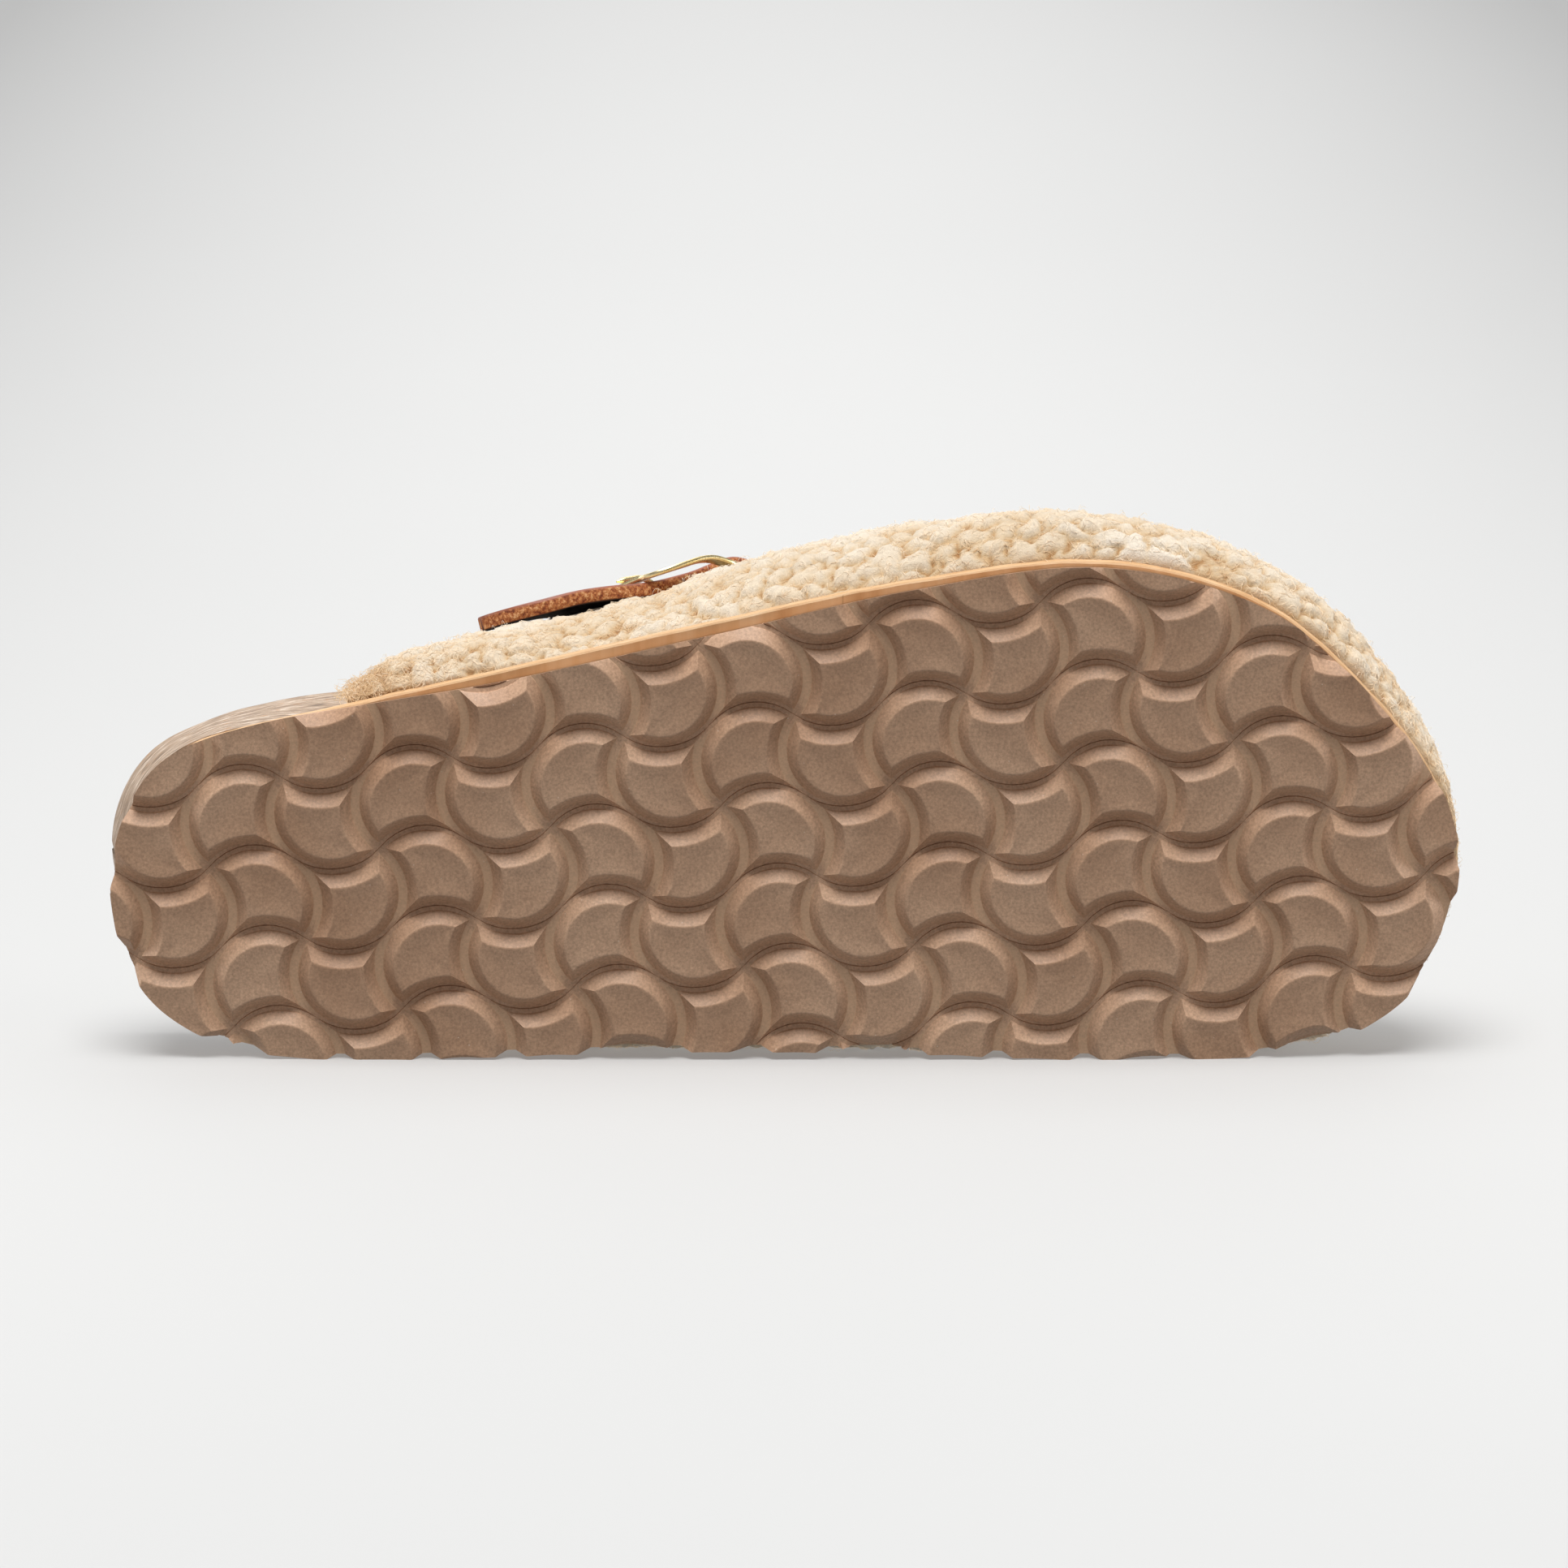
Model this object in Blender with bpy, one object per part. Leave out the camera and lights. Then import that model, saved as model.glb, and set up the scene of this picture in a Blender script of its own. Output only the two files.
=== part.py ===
# Right clog with a closed fleece upper, a buckled leather strap and a cork footbed, lying on its inner side.
# Shoe frame, in millimetres: x runs from heel to toe along the straight inner side, y towards the inner side,
# z up from the tread. Every piece is made there and hangs on one empty that lays the shoe on its side.
import math

import bmesh
import bpy
import numpy as np
from mathutils import Matrix

MM = 0.001
GAP = 0.3  # clearance between pieces that touch

# Driving dimensions
SOLE_LENGTH = 262.0
INNER_LINE = 50.0  # y of the straight inner side, from which widths are measured
TOE_SPRING = 5.5
TOE_BREAK = 185.0  # the sole starts to rise here
HEEL_LIFT = 2.5
HEEL_BREAK = 70.0
END_SHARE = 0.012  # lofts start and end this far round from heel and toe

LUG_DEPTH = 1.8
OUTSOLE_TOP = 4.6
OUTSOLE_TAPER = 1.5  # its side leans in this far from tread to top
MIDSOLE_THICK = 1.8
MIDSOLE_TOP = OUTSOLE_TOP + GAP + MIDSOLE_THICK
SEAT = MIDSOLE_TOP + GAP  # level on which upper and footbed stand

TILE = 16.7  # pitch of the tread tiles
TILE_TURN = math.radians(7.5)  # the rows rise towards the outer side of the toe
TILE_NODE = (99.8, 66.4)  # one corner of the tile grid: along, across
GROOVE_HALF = 0.55
BEVEL_RUN = 2.1
TREAD_INSET = 0.5  # the lugs stop this far inside the edge of the outsole
ARC_STEPS = 3  # straight pieces in each quarter of a tile's outline
LUG_ROOT = 0.9  # how far a lug reaches into the plate before they are joined

WALL = 3.5  # fleece with its backing
UPPER_FOOT_OUT = -0.5  # place of the upper's foot from the edge of the tread
WALL_BEND = {"out": 0.5, "in": 0.45}  # level of each side's bend between foot and widest level
UPPER_REAR = 46.0  # the upper starts this far from the back of the heel
THROAT = 126.0  # front end of the collar
SPINE_PULL = 40.0  # the ridge ends this far behind the toe tip
SPINE_BREAK = 165.0
RIBS = 48
RIB_STEPS = 10

INSOLE_THICK = 1.6
INSOLE_LIFT = GAP + 0.1
INSOLE_END = 6.0  # it stops this far from heel and toe
RIM_ROUND = 1.5
BED_POWER = 3.5  # how sharply the footbed turns up to its rim
BED_COLUMNS = (-1, -0.86, -0.7, -0.4, 0, 0.4, 0.7, 0.86, 1)  # shares of its half width

STRAP_WIDTH = 22.0
STRAP_THICK = 2.8
STRAP_STEPS = 30
TIP_STEPS = (0.3, 1.5, 4.0)  # lengths at which the round tip is drawn
STRAP_COLUMNS = (-1, -0.55, -0.16, 0.16, 0.55, 1)  # shares of its half width, the slot in the middle
TAB_THICK = 1.0
TAB_LIFT = GAP + 0.1
TAB_WIDTH = 15.0
TAB_LENGTH = 6.5  # it starts at the hinge bar
FREE_BAR_AT = 29.5  # along the strap from its free end
HINGE_AT = 48.5
BAR_WIDTH = 2.6
BAR_THICK = 1.0
FRAME_ROUND = 5.0
FRAME_CLEAR = 1.6  # beside the strap
PIN_RADIUS = 0.6
SLOT_FROM, SLOT_TO = 36.0, 44.8  # hole in the strap through which the pin comes up


def table(columns, *rows):
    return dict(zip(columns.split(), np.array(rows, float).T))


OUTLINE = table(
    "along outer inner",
    (0, 34.8, 34.8),
    (10, 61.0, 9.4),
    (30, 69.6, 1.2),
    (50, 73.6, 0.0),
    (72, 77.5, 0.8),
    (117, 87.8, 1.9),
    (155, 96.8, 1.4),
    (192, 101.5, 0.1),
    (225, 92.0, 0.8),
    (247, 71.2, 7.4),
    (262, 38.5, 38.5),
)

# Place of the tan layer's edge from the edge of the tread on each side
EDGE_LAYER = table(
    "along outer inner",
    (0, -1.7, -1.7),
    (40, -1.7, -1.7),
    (56, -0.6, -1.3),
    (200, -0.6, -1.3),
    (262, -1.0, -1.3),
)

# Upper: height and place of its ridge, and of each side its swell past the sole, the level where it is
# widest, and how full the side is between there and the ridge
UPPER = table(
    "along ridge across swell_out swell_in widest_out widest_in full_out full_in",
    (40, 91, 36.5, 1.2, 2.4, 12, 22, 0.15, 0.18),
    (57, 92, 37.0, 2.5, 3.0, 13, 24, 0.16, 0.20),
    (72, 92, 38.0, 2.8, 3.8, 14, 25, 0.24, 0.26),
    (95, 91, 39.5, 0.6, 5.04, 18, 26, 0.34, 0.36),
    (108, 89, 40.2, 1.2, 5.34, 19, 26, 0.37, 0.39),
    (120, 87, 41.0, 3.1, 5.64, 20, 26, 0.40, 0.42),
    (145, 79, 42.5, 4.0, 5.34, 20, 26, 0.44, 0.48),
    (170, 68, 43.5, 4.4, 4.14, 18, 24, 0.48, 0.54),
    (200, 55, 43.5, 3.2, 2.4, 15, 20, 0.55, 0.62),
    (222, 49, 42.5, 2.2, 2.0, 15, 17, 0.62, 0.66),
    (246, 45, 41.0, 1.3, 1.3, 16, 16, 0.65, 0.66),
    (262, 43, 40.0, -0.8, -0.8, 16, 16, 0.66, 0.66),
)

# Height of the upper's edge above the tread, from its rear corner to the front of the collar
COLLAR = table(
    "along height",
    (46, 9.5),
    (51, 13),
    (57, 24),
    (66, 42),
    (80, 56),
    (100, 67),
    (116, 77),
    (126, 86),
)

# Cork footbed: rims, the hollow between them, and how far its side stands out at the foot and at the rim
FOOTBED = table(
    "along rim_out rim_in bed foot_out rim_edge",
    (0, 27, 27, 23, -1.7, 0.5),
    (10, 27, 27, 20.5, -1.8, -3.8),
    (25, 27, 27, 18.5, -2.0, -4.6),
    (42, 26.5, 27, 18.5, -4.4, -5.0),
    (60, 25.5, 27.5, 19.0, -4.4, -6.6),
    (95, 23.5, 28.0, 21.0, -4.4, -5.2),
    (130, 20.0, 24.0, 19.5, -4.4, -4.4),
    (165, 17.5, 19.0, 16.8, -4.4, -4.4),
    (200, 16.5, 17.0, 15.5, -4.4, -4.4),
    (240, 16.5, 16.5, 15.0, -4.6, -4.8),
    (262, 17.0, 17.0, 15.5, -5.0, -5.2),
)

# Middle line of the strap on the upper, from its free end: reach is measured round the upper from its ridge,
# minus on the outer side
STRAP_ROUTE = table(
    "along reach",
    (73, -66),
    (86, -61.5),
    (100, -54.5),
    (112, -45),
    (121, -33),
    (128, -18),
    (133, 1),
    (136, 22),
    (137.5, 40),
    (138, 56),
)

# Height of the strap's underside over the upper, and of the frame's middle, along the strap
STRAP_LIFT = table(
    "along lift",
    (0, 1.5),
    (8, 2.2),
    (16, 2.6),
    (22, 2.1),
    (28, 1.1),
    (34, 0.8),
    (39, 0.9),
    (44, 2.0),
    (48, 3.0),
    (52, 2.9),
    (58, 2.0),
    (66, 1.3),
    (74, 1.0),
    (200, 1.0),
)
FRAME_LIFT = table(
    "along lift",
    (26, 5.0),
    (31, 4.8),
    (36, 4.8),
    (39, 4.9),
    (41, 4.6),
    (43, 3.7),
    (45, 2.7),
    (46.5, 2.1),
    (48, 1.9),
    (52, 1.9),
)

# Middle line of the pin, from the hinge bar up through the strap's hole and over the free bar
PIN_ROUTE = table(
    "along lift",
    (46.9, 1.6),
    (44.6, 1.25),
    (41.8, 2.4),
    (38.5, 4.2),
    (35.0, 6.15),
    (32.0, 6.35),
    (28.9, 6.25),
)


def smooth(knots, values, wanted):
    """Cubic curve through the knots, held at the end values outside them."""
    wanted = np.clip(np.asarray(wanted, float), knots[0], knots[-1])
    slopes = np.gradient(values, knots)
    low = np.clip(np.searchsorted(knots, wanted, side="right") - 1, 0, len(knots) - 2)
    span = knots[low + 1] - knots[low]
    t = (wanted - knots[low]) / span
    rise = t * t * (3 - 2 * t)
    start = t * (1 - t) ** 2 * span
    end = t * t * (t - 1) * span
    return values[low] * (1 - rise) + values[low + 1] * rise + slopes[low] * start + slopes[low + 1] * end


def read(rows, column, along):
    return smooth(rows["along"], rows[column], along)


def turn_of(along):
    """Angle that bunches the stations at heel and toe, so that both ends come out round."""
    return np.arccos(1 - 2 * np.clip(np.asarray(along, float) / SOLE_LENGTH, 0, 1))


def along_of(turn):
    return SOLE_LENGTH * (1 - np.cos(turn)) / 2


def edge(lap, out=0.0):
    """Point on the sole's outline, moved outwards.

    Lap runs 0 to 1 along the outer side and 1 to 2 back along the inner."""

    def plain(laps):
        laps = np.mod(laps, 2)
        turn = np.pi * np.where(laps < 1, laps, 2 - laps)
        knots = turn_of(OUTLINE["along"])
        outer = smooth(knots, OUTLINE["outer"], turn)
        inner = smooth(knots, OUTLINE["inner"], turn)
        return np.stack([along_of(turn), INNER_LINE - np.where(laps < 1, outer, inner)], -1)

    lap = np.asarray(lap, float)
    step = 0.004
    run = plain(lap + step) - plain(lap - step)
    run /= np.linalg.norm(run, axis=-1, keepdims=True)
    outward = np.stack([run[..., 1], -run[..., 0]], -1)
    return plain(lap) + outward * np.asarray(out, float)[..., None]


def rocker(along):
    toe = np.clip((along - TOE_BREAK) / (SOLE_LENGTH - TOE_BREAK), 0, None)
    heel = np.clip((HEEL_BREAK - along) / HEEL_BREAK, 0, None)
    return TOE_SPRING * toe**2 + HEEL_LIFT * heel**2


def spring(points):
    """Bends flat-built points up at toe and heel."""
    points = np.array(points, float)
    points[..., 2] += rocker(points[..., 0])
    return points


def lift_flat(flat, level):
    """Adds a height to points that have only x and y."""
    return np.concatenate([flat, np.broadcast_to(level, flat.shape[:-1])[..., None]], -1)


class Sheet:
    """Gathers the points and faces of one solid."""

    def __init__(self):
        self.points = []
        self.faces = []

    def add(self, points):
        points = np.asarray(points, float)
        first = len(self.points)
        self.points.extend(points.reshape(-1, 3))
        return np.arange(first, len(self.points)).reshape(points.shape[:-1])

    def quads(self, grid, flip=False):
        for i in range(grid.shape[0] - 1):
            for j in range(grid.shape[1] - 1):
                face = [grid[i, j], grid[i + 1, j], grid[i + 1, j + 1], grid[i, j + 1]]
                self.faces.append(face[::-1] if flip else face)

    def mesh(self, name):
        built = bmesh.new()
        verts = [built.verts.new(point * MM) for point in self.points]
        for face in self.faces:
            built.faces.new([verts[i] for i in face])
        bmesh.ops.remove_doubles(built, verts=built.verts, dist=1e-6)
        bmesh.ops.dissolve_degenerate(built, edges=built.edges, dist=1e-7)
        bmesh.ops.recalc_face_normals(built, faces=built.faces)
        mesh = bpy.data.meshes.new(name)
        built.to_mesh(mesh)
        built.free()
        return mesh


def piece(name, mesh, material, smooth_angle=40):
    obj = bpy.data.objects.new(name, mesh)
    bpy.context.scene.collection.objects.link(obj)
    mesh.materials.append(material)
    mesh.shade_smooth()
    mesh.set_sharp_from_angle(angle=math.radians(smooth_angle))
    return obj


def finish(name, colour, roughness, metallic=0.0):
    material = bpy.data.materials.new(name)
    material.use_nodes = True
    shader = material.node_tree.nodes["Principled BSDF"]
    shader.inputs["Base Color"].default_value = (*colour, 1)
    shader.inputs["Roughness"].default_value = roughness
    shader.inputs["Metallic"].default_value = metallic
    return material


def loft(rings):
    """Closed solid through closed rings of points, with a flat cap at both ends."""
    sheet = Sheet()
    grid = sheet.add(rings)
    sheet.quads(np.concatenate([grid, grid[:, :1]], 1))
    sheet.faces.append(list(grid[0]))
    sheet.faces.append(list(grid[-1][::-1]))
    return sheet


def plate_rings(outs, low, high, taper=0.0, stations=40):
    """Rings across the sole, from heel to toe, of a plate between two levels, its side leaning in."""
    share = np.linspace(END_SHARE, 1 - END_SHARE, stations + 1)
    along = along_of(np.pi * share)
    outer = outs("outer", along)
    inner = outs("inner", along)
    corners = [
        (edge(share, outer), low),
        (edge(share, outer - taper), high),
        (edge(2 - share, inner - taper), high),
        (edge(2 - share, inner), low),
    ]
    return np.stack([lift_flat(flat, level) for flat, level in corners], 1)


def make_midsole(material):
    rings = spring(plate_rings(lambda *at: read(EDGE_LAYER, *at), OUTSOLE_TOP + GAP, MIDSOLE_TOP))
    return piece("midsole", loft(rings).mesh("midsole"), material)


def tile_outline(inset):
    """One tread tile round its middle, set in from its edge: a disc that the two neighbouring discs,
    on its left and below, partly cover. What is left has a round back and a hollow front."""
    disc = TILE / math.sqrt(2)
    convex = disc - inset
    concave = disc + inset
    corner_b = (concave**2 - convex**2 - TILE**2) / (2 * TILE)
    corner_a = math.sqrt(convex**2 - corner_b**2)
    tip = (math.sqrt(2 * concave**2 - TILE**2) - TILE) / 2
    corner = math.atan2(corner_b, corner_a)

    def arc(centre, radius, start, end, steps):
        turns = np.linspace(start, end, steps + 1)[:-1]
        return np.stack([centre[0] + radius * np.cos(turns), centre[1] + radius * np.sin(turns)], -1)

    tip_turn = math.atan2(tip, tip + TILE)
    corner_turn = math.atan2(corner_a, corner_b + TILE)
    back = arc((0, 0), convex, corner, math.pi / 2 - corner, 2 * ARC_STEPS)
    left = arc((-TILE, 0), concave, corner_turn, tip_turn, ARC_STEPS)
    below = arc((0, -TILE), concave, math.pi / 2 - tip_turn, math.pi / 2 - corner_turn, ARC_STEPS)
    return np.concatenate([back, left, below])


def tile_places():
    """Middle and facing of every tile that can meet the sole. The facing alternates along both rows."""
    towards_toe = np.array([math.cos(TILE_TURN), -math.sin(TILE_TURN)])
    towards_inner = np.array([math.sin(TILE_TURN), math.cos(TILE_TURN)])
    node = np.array([TILE_NODE[0], INNER_LINE - TILE_NODE[1]])
    rim = edge(np.linspace(0, 2, 120))
    for i in range(-8, 12):
        for j in range(-6, 7):
            middle = node + TILE * ((i + 0.5) * towards_toe + (j + 0.5) * towards_inner)
            if np.linalg.norm(rim - middle, axis=1).min() < TILE or inside(middle, rim):
                facing = (1 if j % 2 else -1, -1 if i % 2 else 1)
                yield middle, towards_toe * facing[0], towards_inner * facing[1]


def inside(point, rim):
    ahead = np.roll(rim, -1, 0)
    crosses = (rim[:, 1] > point[1]) != (ahead[:, 1] > point[1])
    height = np.where(crosses, ahead[:, 1] - rim[:, 1], 1)
    meets = rim[:, 0] + (point[1] - rim[:, 1]) * (ahead[:, 0] - rim[:, 0]) / height
    return bool((crosses & (point[0] < meets)).sum() % 2)


def helper(name, mesh):
    obj = bpy.data.objects.new(name, mesh)
    bpy.context.scene.collection.objects.link(obj)
    obj.hide_render = True
    obj.display_type = "WIRE"
    return obj


def boolean(obj, other, operation):
    modifier = obj.modifiers.new(operation.lower(), "BOOLEAN")
    modifier.operation = operation
    modifier.solver = "EXACT"
    modifier.object = other


def make_outsole(material):
    """Plate with the tiles standing under it, joined while flat and then bent."""
    lugs = Sheet()
    levels = (
        (0, GROOVE_HALF + BEVEL_RUN),
        (LUG_DEPTH, GROOVE_HALF),
        (LUG_DEPTH + LUG_ROOT, GROOVE_HALF),
    )
    for middle, toe, inner in tile_places():
        rings = []
        for level, inset in levels:
            shape = tile_outline(inset)
            rings.append(lift_flat(middle + shape[:, :1] * toe + shape[:, 1:] * inner, level))
        tile = loft(np.stack(rings))
        lugs.faces.extend([[i + len(lugs.points) for i in face] for face in tile.faces])
        lugs.points.extend(tile.points)
    lug_field = helper("lug_field", lugs.mesh("lug_field"))
    trim_rings = plate_rings(lambda side, along: 0 * along - TREAD_INSET, -1.0, OUTSOLE_TOP)
    trim = helper("tread_trim", loft(trim_rings).mesh("tread_trim"))
    boolean(lug_field, trim, "INTERSECT")
    flat = loft(plate_rings(lambda side, along: 0 * along, LUG_DEPTH, OUTSOLE_TOP, OUTSOLE_TAPER))
    plate = helper("outsole_plate", flat.mesh("outsole_plate"))
    boolean(plate, lug_field, "UNION")
    mesh = bpy.data.meshes.new_from_object(plate.evaluated_get(bpy.context.evaluated_depsgraph_get()))
    for cutter in (plate, lug_field, trim):
        bpy.data.objects.remove(cutter, do_unlink=True)
    built = bmesh.new()
    built.from_mesh(mesh)
    bmesh.ops.triangulate(built, faces=built.faces)
    for vert in built.verts:
        vert.co.z += float(rocker(vert.co.x / MM)) * MM
    built.to_mesh(mesh)
    built.free()
    mesh.name = "outsole"
    return piece("outsole", mesh, material, 30)


def rib(lap, samples=80):
    """Outside of the upper from the sole's edge up to the ridge, as a line of points, flat-built."""
    turn = np.pi * min(lap, 2 - lap)
    along = float(along_of(turn))
    side = "out" if lap <= 1 else "in"
    swell = float(read(UPPER, "swell_" + side, along))
    widest = float(read(UPPER, "widest_" + side, along))
    full = float(read(UPPER, "full_" + side, along))
    bend = WALL_BEND[side]
    pull = max(0.0, (along - SPINE_BREAK) / (SOLE_LENGTH - SPINE_BREAK))
    top_along = along - SPINE_PULL * pull**2
    top_across = INNER_LINE - read(UPPER, "across", top_along)
    top = np.array([top_along, top_across, read(UPPER, "ridge", top_along)])
    foot = lift_flat(edge(lap, UPPER_FOOT_OUT), SEAT)
    knee = lift_flat(edge(lap, swell), SEAT + bend * (widest - SEAT))
    wide = lift_flat(edge(lap, swell), widest)
    crown = np.array([wide[0], wide[1], top[2]])
    t = np.linspace(0, 1, samples)[:, None]
    low = (1 - t) ** 2 * foot + 2 * t * (1 - t) * knee + t**2 * wide
    weight = 2 * full * t * (1 - t)
    high = ((1 - t) ** 2 * wide + weight * crown + t**2 * top) / ((1 - t) ** 2 + weight + t**2)
    return np.concatenate([low, high[1:]])


def spaced(line, count):
    """The same line with points evenly spaced along it."""
    run = np.concatenate([[0], np.cumsum(np.linalg.norm(np.diff(line, axis=0), axis=1))])
    wanted = np.linspace(0, run[-1], count + 1)
    return np.stack([np.interp(wanted, run, line[:, axis]) for axis in range(3)], -1)


def cut_at(line, height):
    """The part of a rib below a height."""
    above = np.nonzero(line[:, 2] > height)[0]
    if len(above) == 0:
        return line
    last = above[0]
    share = (height - line[last - 1, 2]) / (line[last, 2] - line[last - 1, 2])
    return np.concatenate([line[:last], [line[last - 1] + share * (line[last] - line[last - 1])]])


def upper_grid():
    """Outside of the upper: ribs from the outer rear corner round the toe to the inner one."""
    rear = float(turn_of(UPPER_REAR)) / np.pi
    laps = np.linspace(rear, 2 - rear, RIBS + 1)
    lines = []
    open_top = []
    for lap in laps:
        along = float(along_of(np.pi * min(lap, 2 - lap)))
        line = rib(lap)
        open_top.append(along < THROAT)
        if along < THROAT:
            line = cut_at(line, float(read(COLLAR, "height", along)))
        lines.append(spaced(line, RIB_STEPS))
    return np.stack(lines), open_top


def normals_of(grid):
    """Outward normals of a grid of points."""
    round_way = np.gradient(grid, axis=0)
    up = np.gradient(grid, axis=1)
    normal = np.cross(round_way, up)
    size = np.linalg.norm(normal, axis=-1, keepdims=True)
    flat = size[:, -1, 0] < 0.01
    normal[flat, -1] = normal[flat, -2]
    return normal / np.linalg.norm(normal, axis=-1, keepdims=True)


def make_upper(material):
    outside, open_top = upper_grid()
    facing = normals_of(outside)
    within = outside - WALL * facing
    within[:, 0, 2] = SEAT
    for k in range(RIBS + 1):
        if not open_top[k]:
            shared = (within[k, -1] + within[RIBS - k, -1]) / 2
            within[k, -1] = within[RIBS - k, -1] = shared
    sheet = Sheet()
    skin = sheet.add(spring(outside))
    lining = sheet.add(spring(within))
    sheet.quads(skin)
    sheet.quads(lining, flip=True)
    sheet.quads(np.stack([skin[:, 0], lining[:, 0]], 1), flip=True)
    for end, flip in ((0, False), (RIBS, True)):
        sheet.quads(np.stack([skin[end], lining[end]]), flip=flip)
    for k in range(RIBS):
        if open_top[k] or open_top[k + 1]:
            sheet.quads(np.stack([skin[k : k + 2, -1], lining[k : k + 2, -1]], 1))
    return piece("upper", sheet.mesh("upper"), material, 60)


def bed_level(along, share, rims):
    """Top of the footbed at a share of its half width, minus on the outer side."""
    rim = np.where(share < 0, rims[0], rims[1])
    bed = read(FOOTBED, "bed", along)
    return bed + (rim - bed) * np.abs(share) ** BED_POWER


def footbed_rows(stations):
    share = np.linspace(END_SHARE, 1 - END_SHARE, stations + 1)
    along = along_of(np.pi * share)
    rims = read(FOOTBED, "rim_out", along), read(FOOTBED, "rim_in", along)
    return share, along, rims


def bed_points(share, along, rims, across, lift):
    """Points over the footbed's hollow at shares of its half width."""
    edge_out = read(FOOTBED, "rim_edge", along) - RIM_ROUND
    outer = edge(share, edge_out)
    inner = edge(2 - share, edge_out)
    points = []
    for place in across:
        flat = outer + (inner - outer) * (place + 1) / 2
        points.append(lift_flat(flat, bed_level(along, place, rims) + lift))
    return points


def make_footbed(material):
    share, along, rims = footbed_rows(34)
    foot = read(FOOTBED, "foot_out", along)
    rim = read(FOOTBED, "rim_edge", along)
    ring = [lift_flat(edge(share, foot), SEAT), lift_flat(edge(share, rim), rims[0] - RIM_ROUND)]
    ring += bed_points(share, along, rims, BED_COLUMNS, 0)
    ring += [lift_flat(edge(2 - share, rim), rims[1] - RIM_ROUND), lift_flat(edge(2 - share, foot), SEAT)]
    return piece("footbed", loft(spring(np.stack(ring, 1))).mesh("footbed"), material)


def make_insole(material):
    share, along, rims = footbed_rows(34)
    keep = (along > INSOLE_END) & (along < SOLE_LENGTH - INSOLE_END)
    share, along, rims = share[keep], along[keep], (rims[0][keep], rims[1][keep])
    across = BED_COLUMNS[1:-1]
    under = bed_points(share, along, rims, across, INSOLE_LIFT)
    over = bed_points(share, along, rims, across, INSOLE_LIFT + INSOLE_THICK)
    return piece("insole", loft(spring(np.stack(under + over[::-1], 1))).mesh("insole"), material)


def arch(along):
    """Whole section of the upper at one place, and the distance round it from the ridge."""
    lap = float(turn_of(along)) / np.pi
    outer = rib(lap)
    inner = rib(2 - lap)
    line = np.concatenate([outer, inner[-2::-1]])
    run = np.concatenate([[0], np.cumsum(np.linalg.norm(np.diff(line, axis=0), axis=1))])
    return line, run - run[len(outer) - 1]


def on_upper(along, reach):
    """Point on the outside of the upper, by its distance round the section from the ridge."""
    line, run = arch(along)
    return np.array([np.interp(reach, run, line[:, axis]) for axis in range(3)])


def over_upper(along, reach, lift):
    """Point that stands off the upper by a lift."""
    step = 1.5
    round_way = on_upper(along, reach + step) - on_upper(along, reach - step)
    long_way = on_upper(along + step, reach) - on_upper(along - step, reach)
    normal = np.cross(long_way, round_way)
    normal /= np.linalg.norm(normal)
    return on_upper(along, reach) + normal * lift, normal


def strap_line():
    """Middle line of the strap as places and directions on the upper, one for each millimetre."""
    steps = np.linspace(0, len(STRAP_ROUTE["along"]) - 1, 400)
    knots = np.arange(len(STRAP_ROUTE["along"]), dtype=float)
    line = np.stack([smooth(knots, STRAP_ROUTE[column], steps) for column in ("along", "reach")], -1)
    run = np.concatenate([[0], np.cumsum(np.linalg.norm(np.diff(line, axis=0), axis=1))])
    wanted = np.arange(0, run[-1])
    line = np.stack([np.interp(wanted, run, line[:, axis]) for axis in range(2)], -1)
    way = np.gradient(line, axis=0)
    return line, way / np.linalg.norm(way, axis=1, keepdims=True)


def strap_place(line, way, at, aside):
    """Place on the upper at a length along the strap and a distance aside, plus towards the heel side."""
    marks = np.arange(len(line))
    middle = np.array([np.interp(at, marks, line[:, axis]) for axis in range(2)])
    ahead = np.array([np.interp(at, marks, way[:, axis]) for axis in range(2)])
    before = min(at, 0.0)
    past = max(at - marks[-1], 0.0)
    return middle + ahead * (before + past) + aside * np.array([-ahead[1], ahead[0]])


def band(line, way, lengths, asides, lifts, thick):
    """Under and upper faces of a leather band on the upper, as grids of points."""
    under = np.empty((len(lengths), asides.shape[1], 3))
    over = np.empty_like(under)
    for i, length in enumerate(lengths):
        for j, aside in enumerate(asides[i]):
            place = strap_place(line, way, length, aside)
            under[i, j], normal = over_upper(*place, lifts[i])
            over[i, j] = under[i, j] + normal * thick
    return spring(under), spring(over)


def band_sheet(under, over, hole=None):
    """Closed solid between two grids, with one cell left open as a hole."""
    sheet = Sheet()
    low = sheet.add(under)
    high = sheet.add(over)
    rows, columns = low.shape
    for i in range(rows - 1):
        for j in range(columns - 1):
            cell = [(i, j), (i + 1, j), (i + 1, j + 1), (i, j + 1)]
            if (i, j) == hole:
                for a, b in zip(cell, cell[1:] + cell[:1]):
                    sheet.faces.append([low[a], low[b], high[b], high[a]])
            else:
                sheet.faces.append([low[c] for c in cell])
                sheet.faces.append([high[c] for c in cell[::-1]])
    border = [(i, 0) for i in range(rows)]
    border += [(rows - 1, j) for j in range(1, columns)]
    border += [(i, columns - 1) for i in range(rows - 2, -1, -1)]
    border += [(0, j) for j in range(columns - 2, 0, -1)]
    for a, b in zip(border, border[1:] + border[:1]):
        sheet.faces.append([low[a], low[b], high[b], high[a]])
    return sheet


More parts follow.
